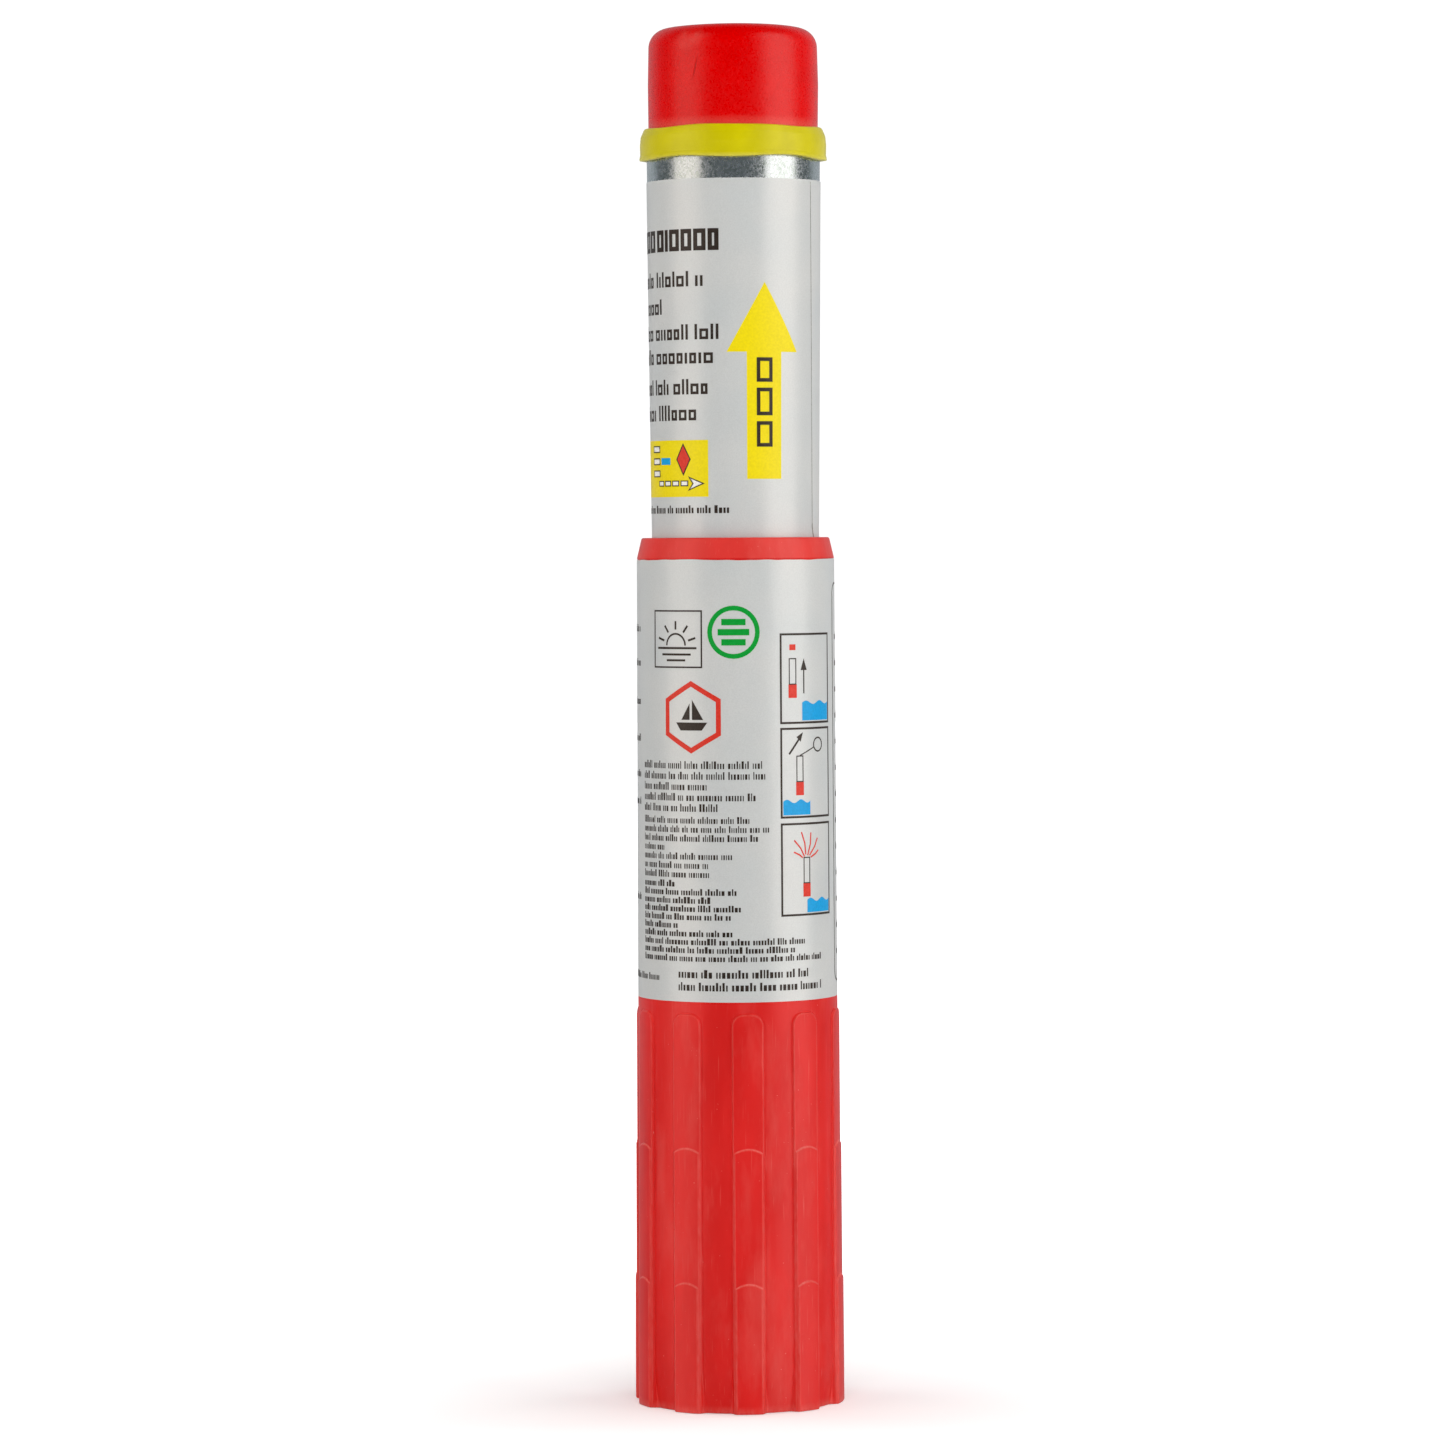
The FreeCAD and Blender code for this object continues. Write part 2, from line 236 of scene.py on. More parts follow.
def add(tree, kind, inputs=None, **settings):
    """Adds a node with its settings, and gives each input a value or a link.

    A hex colour is turned to linear. A node is linked by the first of its outputs in use."""
    node = tree.nodes.new(kind)
    for name, value in settings.items():
        setattr(node, name, value)
    for socket, value in (inputs or {}).items():
        if isinstance(value, bpy.types.Node):
            value = next(output for output in value.outputs if output.enabled)
        if isinstance(value, bpy.types.NodeSocket):
            tree.links.new(value, node.inputs[socket])
        else:
            is_colour = isinstance(value, str) and value.startswith("#")
            node.inputs[socket].default_value = linear(value) if is_colour else value
    return node


def new_material(name):
    """A material with its tree emptied, and its Object coordinates in millimetres."""
    material = bpy.data.materials.new(name)
    material.use_nodes = True
    tree = material.node_tree
    tree.nodes.clear()
    place = add(tree, "ShaderNodeTexCoord").outputs["Object"]
    return material, tree, add(tree, VECTOR, {0: place, "Scale": 1 / MM}, operation="SCALE")


def mottling(tree, place, grain, detail=3.0, roughness=0.5):
    """A soft mottling between 0 and 1, its grain so many millimetres long in x, y and z."""
    scaled = add(tree, VECTOR, {0: place, 1: [1 / length for length in grain]}, operation="MULTIPLY")
    settings = {"Vector": scaled, "Scale": 1.0, "Detail": detail, "Roughness": roughness}
    return add(tree, "ShaderNodeTexNoise", settings)


def tinted(tree, colour, tint, pattern, start, end, most=1.0):
    """A colour with a tint laid over it, none where the pattern is at start and most of it at end."""
    ends = {"Value": pattern, "From Min": start, "From Max": end, "To Min": 0.0, "To Max": most}
    share = add(tree, RANGE, ends)
    return add(tree, MIX, {0: share, 6: colour, 7: tint}, data_type="RGBA")


def spot(tree, place, centre, reach, tilt):
    """1 inside an oval spot, fading to 0 at its edge. tilt turns it in the front plane, in degrees."""
    from_centre = add(tree, VECTOR, {0: place, 1: centre}, operation="SUBTRACT")
    turn = {"Vector": from_centre, "Angle": math.radians(tilt)}
    upright = add(tree, "ShaderNodeVectorRotate", turn, rotation_type="Y_AXIS")
    oval = add(tree, VECTOR, {0: upright, 1: [1 / length for length in reach]}, operation="MULTIPLY")
    distance = add(tree, VECTOR, {0: oval}, operation="LENGTH")
    ends = {"Value": distance, "From Min": 0.5, "From Max": 1.0, "To Min": 1.0, "To Max": 0.0}
    return add(tree, RANGE, ends)


def finish_material(tree, inputs, uneven, roughness, height=None, depth=0.0):
    """Adds the surface shader and its output, with bumps of a depth in millimetres.

    uneven is a pattern with its start and end, between which roughness goes from low to high."""
    pattern, start, end = uneven
    ends = {"From Min": start, "From Max": end, "To Min": roughness[0], "To Max": roughness[1]}
    inputs = dict(inputs, Roughness=add(tree, RANGE, {"Value": pattern, **ends}))
    if height is not None:
        bump = {"Height": height, "Strength": 1.0, "Distance": depth * MM}
        inputs["Normal"] = add(tree, "ShaderNodeBump", bump)
    shader = add(tree, "ShaderNodeBsdfPrincipled", inputs)
    add(tree, "ShaderNodeOutputMaterial", {"Surface": shader})


# ------------------------------------------------------------------ materials


def pale_paper():
    """Studio backdrop paper: matt and nearly white, burnt out to pure white further away."""
    material, tree, place = new_material("backdrop_paper")
    cloud = mottling(tree, place, (40, 40, 40))
    colour = add(tree, MIX, {0: cloud, 6: "#E9E9E9", 7: "#ECECEC"}, data_type="RGBA")
    paper = add(tree, "ShaderNodeBsdfDiffuse", {"Color": colour})
    away = add(tree, VECTOR, {0: place}, operation="LENGTH")
    ends = {"Value": away, "From Min": 20, "From Max": 260, "To Min": 0.3, "To Max": 1.1}
    seen = add(tree, "ShaderNodeLightPath").outputs["Is Camera Ray"]
    lift = add(tree, MATH, {0: seen, 1: add(tree, RANGE, ends)}, operation="MULTIPLY")
    glow = add(tree, "ShaderNodeEmission", {"Color": "#FFFFFF", "Strength": lift})
    both = add(tree, "ShaderNodeAddShader", {0: paper, 1: glow})
    add(tree, "ShaderNodeOutputMaterial", {"Surface": both})
    return material


def moulded_polyethylene(name, body, shade, edge):
    """Injection-moulded polyethylene: satin, faintly waxy, with painted highlights along its pad rims and on
    its lip, and paler where its foot is scuffed.
    """
    material, tree, place = new_material(name)
    colour = tinted(tree, shade, body, mottling(tree, place, (9, 9, 30), 4.0), 0.35, 0.65)
    haze = mottling(tree, place, (7, 7, 26), 5.0, 0.65)
    colour = tinted(tree, colour, edge, haze, 0.5, 0.72, most=0.14)

    # Painted highlight along the rims of the pads, and the handle's foot scuffed pale, both broken into
    # patches.
    height = add(tree, "ShaderNodeSeparateXYZ", {0: place}).outputs[2]
    foot_ends = {"Value": height, "From Min": 0.1, "From Max": 1.6, "To Min": 0.55, "To Max": 0.0}
    foot = add(tree, RANGE, foot_ends)
    rim = add(tree, "ShaderNodeAttribute", attribute_name="pad_edge").outputs["Fac"]
    paled = add(tree, MATH, {0: rim, 1: foot}, operation="MAXIMUM")
    patchy = mottling(tree, place, (0.5, 0.5, 2.0), 5.0)
    patch_ends = {"Value": patchy, "From Min": 0.35, "From Max": 0.75, "To Min": 0.22, "To Max": 0.6}
    patches = add(tree, RANGE, patch_ends)
    highlight_and_wear = add(tree, MATH, {0: paled, 1: patches}, operation="MULTIPLY")
    colour = add(tree, MIX, {0: highlight_and_wear, 6: colour, 7: edge}, data_type="RGBA")

    # A painted highlight: the lip above the label is tinted pale, as if lit from above. Then scuffs along the
    # handle and pale specks.
    colour = tinted(tree, colour, edge, height, HANDLE_LABEL_HIGH, HANDLE_LABEL_HIGH + 0.3, most=0.11)
    colour = tinted(tree, colour, edge, mottling(tree, place, (0.3, 0.3, 9)), 0.64, 0.8, most=0.3)
    specks = mottling(tree, place, (0.5, 0.5, 0.5), 1.0)
    colour = tinted(tree, colour, edge, specks, 0.78, 0.82, most=0.7)

    # The mould's grain is finer than this and wouldn't show. Draw marks run up the handle.
    fine = mottling(tree, place, (0.35, 0.35, 0.35), 2.0)
    drawn = mottling(tree, place, (1.4, 1.4, 40))
    relief = add(tree, MIX, {0: 0.75, 6: fine, 7: drawn}, data_type="RGBA")
    inputs = {"Base Color": colour, "IOR": 1.51}
    finish_material(tree, inputs, (haze, 0.35, 0.7), (0.34, 0.48), height=relief, depth=0.035)
    return material


def soft_vinyl(name, body, shade, pale, roughness, paled_heights, bloom):
    """Plasticised PVC, moulded: strong colour and an oily sheen over a fine grain, paler towards a given
    height and in a smear.

    The given heights are where the paling is strongest and where it ends: on the cap this is a painted
    reflection of the band just below, on the band it is only paler towards its lower edge. The smeared patch
    and the crease, with its painted shade, lie on the cap."""
    material, tree, place = new_material(name)
    colour = tinted(tree, shade, body, mottling(tree, place, (6, 6, 6)), 0.35, 0.65)
    height = add(tree, "ShaderNodeSeparateXYZ", {0: place}).outputs[2]
    # Paler towards a given height: on the cap a painted reflection of the band below it, on the band paler
    # towards its lower edge.
    full, none = paled_heights
    paled_ends = {"Value": height, "From Min": full, "From Max": none, "To Min": 0.32, "To Max": 0.0}
    smear = mottling(tree, place, (2.2, 2.2, 3.0), 5.0, 0.6)
    smear_ends = {"Value": smear, "From Min": 0.42, "From Max": 0.62, "To Min": 0.05, "To Max": 0.22}
    patch = spot(tree, place, CAP_PATCH, CAP_PATCH_REACH, CAP_PATCH_TILT)
    patch = add(tree, MATH, {0: patch, 1: add(tree, RANGE, smear_ends)}, operation="MULTIPLY")
    paled = add(tree, MATH, {0: add(tree, RANGE, paled_ends), 1: patch}, operation="MAXIMUM")
    colour = add(tree, MIX, {0: paled, 6: colour, 7: pale}, data_type="RGBA")
    # The crease: a bump, and painted shade that darkens its fold to a deep red.
    crease = spot(tree, place, CAP_CREASE, CAP_CREASE_REACH, CAP_CREASE_TILT)
    colour = add(tree, MIX, {0: crease, 6: colour, 7: "#B41411"}, data_type="RGBA")
    fine = mottling(tree, place, (0.4, 0.4, 0.4), 2.0)  # coarser than the real grain, so that it shows
    relief = add(tree, MATH, {0: fine, 1: crease}, operation="SUBTRACT")
    inputs = {"Base Color": colour, "IOR": 1.53, "Sheen Weight": bloom, "Sheen Roughness": 0.35}
    finish_material(tree, inputs, (fine, 0.35, 0.65), roughness, height=relief, depth=0.045)
    return material


def silver_film():
    """Label film with a little aluminium in its coat: satin grey, with a soft metallic sheen."""
    material, tree, place = new_material("silver_label_film")
    cloud = mottling(tree, place, (14, 14, 14), 4.0)
    colour = tinted(tree, "#CED3D3", "#D6D8D6", cloud, 0.3, 0.7)
    flakes = mottling(tree, place, (0.25, 0.25, 0.25), 2.0)  # coarser than real flakes, so that they show
    colour = tinted(tree, colour, "#B8BCBB", flakes, 0.35, 0.65, most=0.25)
    creases = mottling(tree, place, (5, 5, 18))
    relief = add(tree, MIX, {0: 0.85, 6: flakes, 7: creases}, data_type="RGBA")
    inputs = {"Base Color": colour, "Metallic": 0.14}
    finish_material(tree, inputs, (cloud, 0.3, 0.7), (0.29, 0.35), height=relief, depth=0.015)
    return material


def zinc_coated_steel():
    """Zinc-coated sheet steel: bright metal broken up by a fine spangle of crystals."""
    material, tree, place = new_material("zinc_coated_steel")
    wobble = add(tree, "ShaderNodeTexNoise", {"Vector": place, "Scale": 2.0}).outputs["Color"]
    bent = add(tree, VECTOR, {0: wobble, 1: (0.6, 0.6, 0.6), 2: place}, operation="MULTIPLY_ADD")
    spangle = [1 / length for length in (0.34, 0.34, 0.4)]
    scaled = add(tree, VECTOR, {0: bent, 1: spangle}, operation="MULTIPLY")
    crystal = add(tree, "ShaderNodeTexVoronoi", {"Vector": scaled, "Scale": 1.0}).outputs["Color"]
    tone = add(tree, "ShaderNodeSeparateXYZ", {0: crystal})
    cloud = mottling(tree, place, (3, 3, 3), 4.0)
    mottle = add(tree, MIX, {0: 0.35, 6: tone, 7: cloud}, data_type="RGBA")
    colour = tinted(tree, "#B9C6C2", "#E6EFF4", mottle, 0.1, 0.85)
    inputs = {"Base Color": colour, "Metallic": 1.0}
    finish_material(tree, inputs, (tone, 0.0, 1.0), (0.16, 0.3), height=mottle, depth=0.01)
    return material


def printing_ink(name, body, shade):
    """Screen-printed ink: thin, matt to satin, slightly uneven in cover."""
    material, tree, place = new_material(name)
    cover = mottling(tree, place, (0.4, 0.4, 0.4))
    inputs = {"Base Color": tinted(tree, body, shade, cover, 0.35, 0.65), "IOR": 1.5}
    finish_material(tree, inputs, (cover, 0.3, 0.7), (0.38, 0.5))
    return material


def plain_metal(name, body, shade, roughness, grain):
    """Drawn or rolled metal: bright, with fine lines of the given length, in millimetres."""
    material, tree, place = new_material(name)
    lines = mottling(tree, place, (0.15, 0.15, grain))
    inputs = {"Base Color": tinted(tree, shade, body, lines, 0.3, 0.7), "Metallic": 1.0}
    finish_material(tree, inputs, (lines, 0.3, 0.7), roughness, height=lines, depth=0.01)
    return material


def pressed_powder(name, body, shade, grain):
    """A pressed or fibrous dry filling: dull and rough, with the given grain, in millimetres."""
    material, tree, place = new_material(name)
    grains = mottling(tree, place, (grain, grain, grain), 4.0)
    inputs = {"Base Color": tinted(tree, shade, body, grains, 0.3, 0.7)}
    finish_material(tree, inputs, (grains, 0.3, 0.7), (0.75, 0.95), height=grains, depth=0.15)
    return material


# ------------------------------------------------------------------ mesh helpers


def soften(corners, steps=6):
    """Rounds the corners of a closed outline: each is (r, z) or (r, z, fillet radius)."""
    outline = []
    count = len(corners)
    for i, corner in enumerate(corners):
        here = Vector(corner[:2])
        fillet = corner[2] if len(corner) > 2 else 0.0
        before = Vector(corners[i - 1][:2]) - here
        after = Vector(corners[(i + 1) % count][:2]) - here
        if fillet == 0 or before.length == 0 or after.length == 0:
            outline.append(tuple(here))
            continue
        half = before.angle(after) / 2
        reach = min(fillet / math.tan(half), before.length * 0.49, after.length * 0.49)
        start, end = here + before.normalized() * reach, here + after.normalized() * reach
        middle = (before.normalized() + after.normalized()).normalized()
        centre = here + middle * (reach / math.cos(half))
        radius = (start - centre).length
        for step in range(steps + 1):
            chord = start.lerp(end, step / steps) - centre
            outline.append(tuple(centre + chord.normalized() * radius))
    return outline


def put(name, mesh, material):
    """Links a finished mesh as an object at the origin, shaded smooth except at its sharp edges."""
    mesh.validate()
    piece = bpy.data.objects.new(name, mesh)
    bpy.context.collection.objects.link(piece)
    mesh.materials.clear()
    mesh.materials.append(material)
    mesh.polygons.foreach_set("use_smooth", [True] * len(mesh.polygons))
    mesh.set_sharp_from_angle(angle=math.radians(38))
    return piece


def turned(name, outline, material, sides=SOFT_SIDES, shift=None, twist=0.0):
    """A closed piece turned about the axis from its half section, in millimetres.

    The outline runs up the outside and down the inside. shift(angle, r, z) gives how far a
    point moves outwards and upwards. twist turns the rows as they rise, in radians per mm."""
    verts, faces = [], []
    rows = len(outline)
    for r, z in outline:
        for j in range(sides):
            angle = 2 * math.pi * j / sides
            out, up = shift(angle, r, z) if shift else (0.0, 0.0)
            radius = (r + out) * MM if r > 0 else 0.0
            angle += twist * (z - outline[0][1])
            verts.append((radius * math.sin(angle), -radius * math.cos(angle), (z + up) * MM))
    for i in range(rows):
        k = (i + 1) % rows
        if outline[i][0] == 0 and outline[k][0] == 0:
            continue
        for j in range(sides):
            n = (j + 1) % sides
            faces.append((i * sides + j, i * sides + n, k * sides + n, k * sides + j))
    mesh = bpy.data.meshes.new(name)
    mesh.from_pydata(verts, [], faces)
    work = bmesh.new()
    work.from_mesh(mesh)
    bmesh.ops.remove_doubles(work, verts=work.verts, dist=1e-7)
    bmesh.ops.dissolve_degenerate(work, edges=work.edges, dist=1e-8)
    work.to_mesh(mesh)
    work.free()
    return put(name, mesh, material)


def dress(node, material):
    """Gives a CAD node that stays in view its finished material."""
    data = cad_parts[node].data
    data.materials.clear()
    data.materials.append(material)


def seat(piece, body, slot, *nodes):
    """Declares what a piece rides on and the CAD nodes it stands for, which it hides. slot is not used."""
    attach(piece, body)
    if nodes:
        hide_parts(*nodes)


# ------------------------------------------------------------------ handle

RIBS = 10
RIB_TURN = 5.3  # degrees
RIB_HALF = 2.95
PAD_TOPS = (75.5, 50.1, 24.6)
PAD_HEIGHTS = (0.36, 0.58, 0.80)
PAD_SIDE_STEPS = (0.0, 0.25, 0.45)
PAD_CORNER = 2.2
PAD_SAGITTA = 0.86
PAD_SOFTNESS = 0.12
PAD_GROOVE = 0.07  # depth of a faint groove round each rib's foot
GROOVE_PLACE = 0.26  # how far outside the first pad's outline it runs
GROOVE_REACH = 0.2
EDGE_HIGHLIGHT = 0.5  # how strongly a pad's rim is painted pale as a painted highlight, and how far that reaches
EDGE_REACH = 0.2
ARC_HIGHLIGHT = 1.2  # the same along the arc at the top of a lower pad
ARC_REACH = 0.24
FOOT_HEIGHT = 8.0
FOOT_DEPTH = 0.7
FOOT_FLANK = 1.0  # how steeply a rib's flank falls to the floor between ribs
LOWER_WALL = 3.5
GRIP_BASE = grip_cone(0)


def spread(start, end, step):
    """Evenly spaced values from start up to, but not including, end."""
    count = max(1, round((end - start) / step))
    return [start + (end - start) * i / count for i in range(count)]


def sector_columns():
    """Distances across one rib and half a gap each side, closest together at the rib's edges."""
    half_pitch = math.pi * GRIP_BASE / RIBS
    edge_in, edge_out, flank_out = RIB_HALF - 0.65, RIB_HALF + 0.5, RIB_HALF + 1.4
    half = spread(0, edge_in, 0.26) + spread(edge_in, edge_out, 0.08)
    half += spread(edge_out, flank_out, 0.28) + spread(flank_out, half_pitch, 0.5) + [half_pitch]
    return [-u for u in reversed(half[1:])] + half


def grip_rows():
    """Heights up the grip, closest together where a pad begins."""
    low_top, middle_top, high_top = PAD_TOPS[2], PAD_TOPS[1], PAD_TOPS[0]
    rows = spread(0.3, FOOT_HEIGHT, 0.7) + spread(FOOT_HEIGHT, low_top - 1.4, 4.0)
    rows += spread(low_top - 1.4, low_top + 0.35, 0.12) + spread(low_top + 0.35, middle_top - 1.4, 5.0)
    rows += spread(middle_top - 1.4, middle_top + 0.35, 0.12)
    rows += spread(middle_top + 0.35, high_top - 2.8, 5.0)
    rows += spread(high_top - 2.8, high_top + 0.5, 0.13) + [high_top + 0.5]
    return rows


def handle_section():
    """The handle's half section as (r, z, share of the rib relief)."""
    panel_low = HANDLE_LABEL_LOW - FILM_GAP
    panel_high = HANDLE_LABEL_HIGH + FILM_GAP
    panel_drop = FILM + FILM_GAP
    bore = GRIP_BASE - LOWER_WALL
    case_bore = end_radius("case_tube", CASE_LOW)
    mouth = end_radius("handle", HANDLE_TOP, inner=True)
    rows = [(grip_cone(0) - 0.35, 0.0, 1), (grip_cone(0) - 0.12, 0.05, 1)]
    rows += [(grip_cone(z), z, 1) for z in grip_rows()]
    upper = [
        (grip_cone(panel_low), panel_low, 0.06),
        (grip_cone(panel_low) - panel_drop, panel_low + 0.05),
        (grip_cone(panel_high) - panel_drop, panel_high - 0.05),
        (grip_cone(panel_high), panel_high, 0.1),
        (end_radius("handle", HANDLE_TOP), HANDLE_TOP, 0.45),
        (mouth, HANDLE_TOP, 0.25),
        (mouth, HANDLE_TOP - 2.5),
        (case_cone(HANDLE_TOP - 2.5) + 0.08, HANDLE_TOP - 2.5),
        (case_bore + 0.08, CASE_LOW),
        (case_bore - 2.0, CASE_LOW),
        (case_bore - 2.0, CASE_LOW - 2.5),
        (bore, CASE_LOW - 2.5),
        (bore, 0.0),
    ]
    return rows + [(r, z, 0) for r, z in soften(upper, 5)]


def sector_mesh():
    """One pitch of the handle, centred on the front, before its rib is raised."""
    columns, section = sector_columns(), handle_section()
    width = len(columns)
    verts, faces, shares = [], [], []
    for r, z, share in section:
        for u in columns:
            angle = u / GRIP_BASE
            verts.append((r * math.sin(angle) * MM, -r * math.cos(angle) * MM, z * MM))
            shares.append(share)
    for i in range(len(section)):
        k = (i + 1) % len(section)
        for j in range(width - 1):
            faces.append((i * width + j, i * width + j + 1, k * width + j + 1, k * width + j))
    mesh = bpy.data.meshes.new("handle_sector")
    mesh.from_pydata(verts, [], faces)
    mesh.attributes.new("relief_share", "FLOAT", "POINT").data.foreach_set("value", shares)
    return mesh


def grip_tree(name):
    """Geometry nodes that raise a stepped rib on one sector and repeat it round the handle."""
    tree = bpy.data.node_groups.new(name, "GeometryNodeTree")
    tree.is_modifier = True
    face = tree.interface
    face.new_socket(name="Geometry", in_out="OUTPUT", socket_type="NodeSocketGeometry")
    face.new_socket(name="Geometry", in_out="INPUT", socket_type="NodeSocketGeometry")
    face.new_socket(name="Ribs", in_out="INPUT", socket_type="NodeSocketInt")
    face.new_socket(name="Material", in_out="INPUT", socket_type="NodeSocketMaterial")
    sizes = ["Rib turn", "Cone radius", "Corner radius", "Step sagitta", "Edge softness"]
    sizes += ["Foot height", "Foot depth", "Foot flank", "Groove depth"]
    for pad in (1, 2, 3):
        sizes += [f"Pad {pad} top", f"Pad {pad} height", f"Pad {pad} half width"]
    for size in sizes:
        face.new_socket(name=size, in_out="INPUT", socket_type="NodeSocketFloat")
    given = add(tree, "NodeGroupInput").outputs
    soft = given["Edge softness"]

    place = add(tree, "GeometryNodeInputPosition")
    parts = add(tree, "ShaderNodeSeparateXYZ", {0: place}).outputs
    front = add(tree, MATH, {0: parts[1], 1: -1.0}, operation="MULTIPLY")
    angle = add(tree, MATH, {0: parts[0], 1: front}, operation="ARCTAN2")
    arc = add(tree, MATH, {0: angle, 1: given["Cone radius"]}, operation="MULTIPLY")
    across = add(tree, MATH, {0: arc}, operation="ABSOLUTE")
    up = add(tree, MATH, {0: parts[2], 1: 1 / MM}, operation="MULTIPLY")

    def crown_line(pad):
        """Height of the shallow arc that tops a lower pad."""
        share = add(tree, MATH, {0: across, 1: given[f"Pad {pad} half width"]}, operation="DIVIDE")
        square = add(tree, MATH, {0: share, 1: 2.0}, operation="POWER")
        drop = add(tree, MATH, {0: square, 1: given["Step sagitta"]}, operation="MULTIPLY")
        return add(tree, MATH, {0: given[f"Pad {pad} top"], 1: drop}, operation="SUBTRACT")

    def beyond(pad):
        """Distance outside a pad's outline: rounded corners on the first, a shallow arc on the rest."""
        top, half = given[f"Pad {pad} top"], given[f"Pad {pad} half width"]
        if pad > 1:
            past_side = add(tree, MATH, {0: across, 1: half}, operation="SUBTRACT")
            past_top = add(tree, MATH, {0: up, 1: crown_line(pad)}, operation="SUBTRACT")
            return add(tree, MATH, {0: past_side, 1: past_top}, operation="MAXIMUM")
        corner = given["Corner radius"]
        past, squares = [], []
        for here, edge in ((across, half), (up, top)):
            centre = add(tree, MATH, {0: edge, 1: corner}, operation="SUBTRACT")
            past.append(add(tree, MATH, {0: here, 1: centre}, operation="SUBTRACT"))
            outside = add(tree, MATH, {0: past[-1], 1: 0.0}, operation="MAXIMUM")
            squares.append(add(tree, MATH, {0: outside, 1: 2.0}, operation="POWER"))
        square = add(tree, MATH, {0: squares[0], 1: squares[1]}, operation="ADD")
        from_centre = add(tree, MATH, {0: square}, operation="SQRT")
        nearer = add(tree, MATH, {0: past[0], 1: past[1]}, operation="MAXIMUM")
        inside = add(tree, MATH, {0: nearer, 1: 0.0}, operation="MINIMUM")
        both = add(tree, MATH, {0: from_centre, 1: inside}, operation="ADD")
        return add(tree, MATH, {0: both, 1: corner}, operation="SUBTRACT")

    def near_line(distance, reach):
        """1 on a line, falling to 0 at the given reach."""
        away = add(tree, MATH, {0: distance}, operation="ABSOLUTE")
        share = add(tree, MATH, {0: away, 1: reach}, operation="DIVIDE")
        return add(tree, MATH, {0: 1.0, 1: share}, operation="SUBTRACT")

    relief, rim_highlight, lower_height = 0.0, 0.0, 0.0
    outlines = {pad: beyond(pad) for pad in (1, 2, 3)}
    inner = add(tree, MATH, {0: soft, 1: -1.0}, operation="MULTIPLY")
    for pad, outline in outlines.items():
        edge = {"Value": outline, "From Min": soft, "From Max": inner}
        raised = add(tree, "ShaderNodeMapRange", edge, interpolation_type="SMOOTHSTEP")
        height = given[f"Pad {pad} height"]
        step = add(tree, MATH, {0: height, 1: lower_height}, operation="SUBTRACT")
        rise = add(tree, MATH, {0: raised, 1: step}, operation="MULTIPLY")
        relief = add(tree, MATH, {0: relief, 1: rise}, operation="ADD")
        lower_height = height
        # Painted highlight: a pale line along each pad's rim, kept in pad_edge for the material.
        from_edge = add(tree, MATH, {0: outline, 1: soft}, operation="ADD")
        paled = add(tree, MATH, {0: near_line(from_edge, EDGE_REACH), 1: EDGE_HIGHLIGHT}, operation="MULTIPLY")
        rim_highlight = add(tree, MATH, {0: rim_highlight, 1: paled}, operation="MAXIMUM")

    # The same painted highlight along the arc that tops a lower pad.
    for pad in (2, 3):
        from_arc = add(tree, MATH, {0: up, 1: crown_line(pad)}, operation="SUBTRACT")
        on_arc = add(tree, MATH, {0: near_line(from_arc, ARC_REACH), 1: ARC_HIGHLIGHT}, operation="MULTIPLY")
        inside = add(tree, MATH, {0: across, 1: given[f"Pad {pad} half width"]}, operation="LESS_THAN")
        paled = add(tree, MATH, {0: on_arc, 1: inside}, operation="MULTIPLY")
        rim_highlight = add(tree, MATH, {0: rim_highlight, 1: paled}, operation="MAXIMUM")

    from_groove = add(tree, MATH, {0: outlines[1], 1: GROOVE_PLACE}, operation="SUBTRACT")
    dip = add(tree, MATH, {0: near_line(from_groove, GROOVE_REACH), 1: 0.0}, operation="MAXIMUM")
    groove = add(tree, MATH, {0: dip, 1: given["Groove depth"]}, operation="MULTIPLY")
    outside = add(tree, MATH, {0: outlines[1], 1: 0.0}, operation="MAXIMUM")
    flank = add(tree, MATH, {0: outside, 1: given["Foot flank"]}, operation="MULTIPLY")
    climbed = add(tree, MATH, {0: up, 1: given["Foot height"]}, operation="DIVIDE")
    to_climb = add(tree, MATH, {0: 1.0, 1: climbed}, operation="SUBTRACT")
    to_climb = add(tree, MATH, {0: to_climb, 1: 0.0}, operation="MAXIMUM")
    recess = add(tree, MATH, {0: to_climb, 1: given["Foot depth"]}, operation="MULTIPLY")
    foot = add(tree, MATH, {0: flank, 1: recess}, operation="MINIMUM")
    sunk = add(tree, MATH, {0: foot, 1: groove}, operation="ADD")
    relief = add(tree, MATH, {0: relief, 1: sunk}, operation="SUBTRACT")

    share = add(tree, "GeometryNodeInputNamedAttribute", {"Name": "relief_share"}, data_type="FLOAT")
    moved = add(tree, MATH, {0: relief, 1: share}, operation="MULTIPLY")
    moved = add(tree, MATH, {0: moved, 1: MM}, operation="MULTIPLY")
    flat = add(tree, "ShaderNodeCombineXYZ", {0: parts[0], 1: parts[1]})
    outwards = add(tree, VECTOR, {0: flat}, operation="NORMALIZE")
    offset = add(tree, VECTOR, {0: outwards, "Scale": moved}, operation="SCALE")
    rim_highlight = add(tree, MATH, {0: rim_highlight, 1: share}, operation="MULTIPLY")
    marked = add(
        tree,
        "GeometryNodeStoreNamedAttribute",
        {"Geometry": given["Geometry"], "Name": "pad_edge", "Value": rim_highlight},
        data_type="FLOAT",
        domain="POINT",
    )
    rib = add(tree, "GeometryNodeSetPosition", {"Geometry": marked, "Offset": offset})

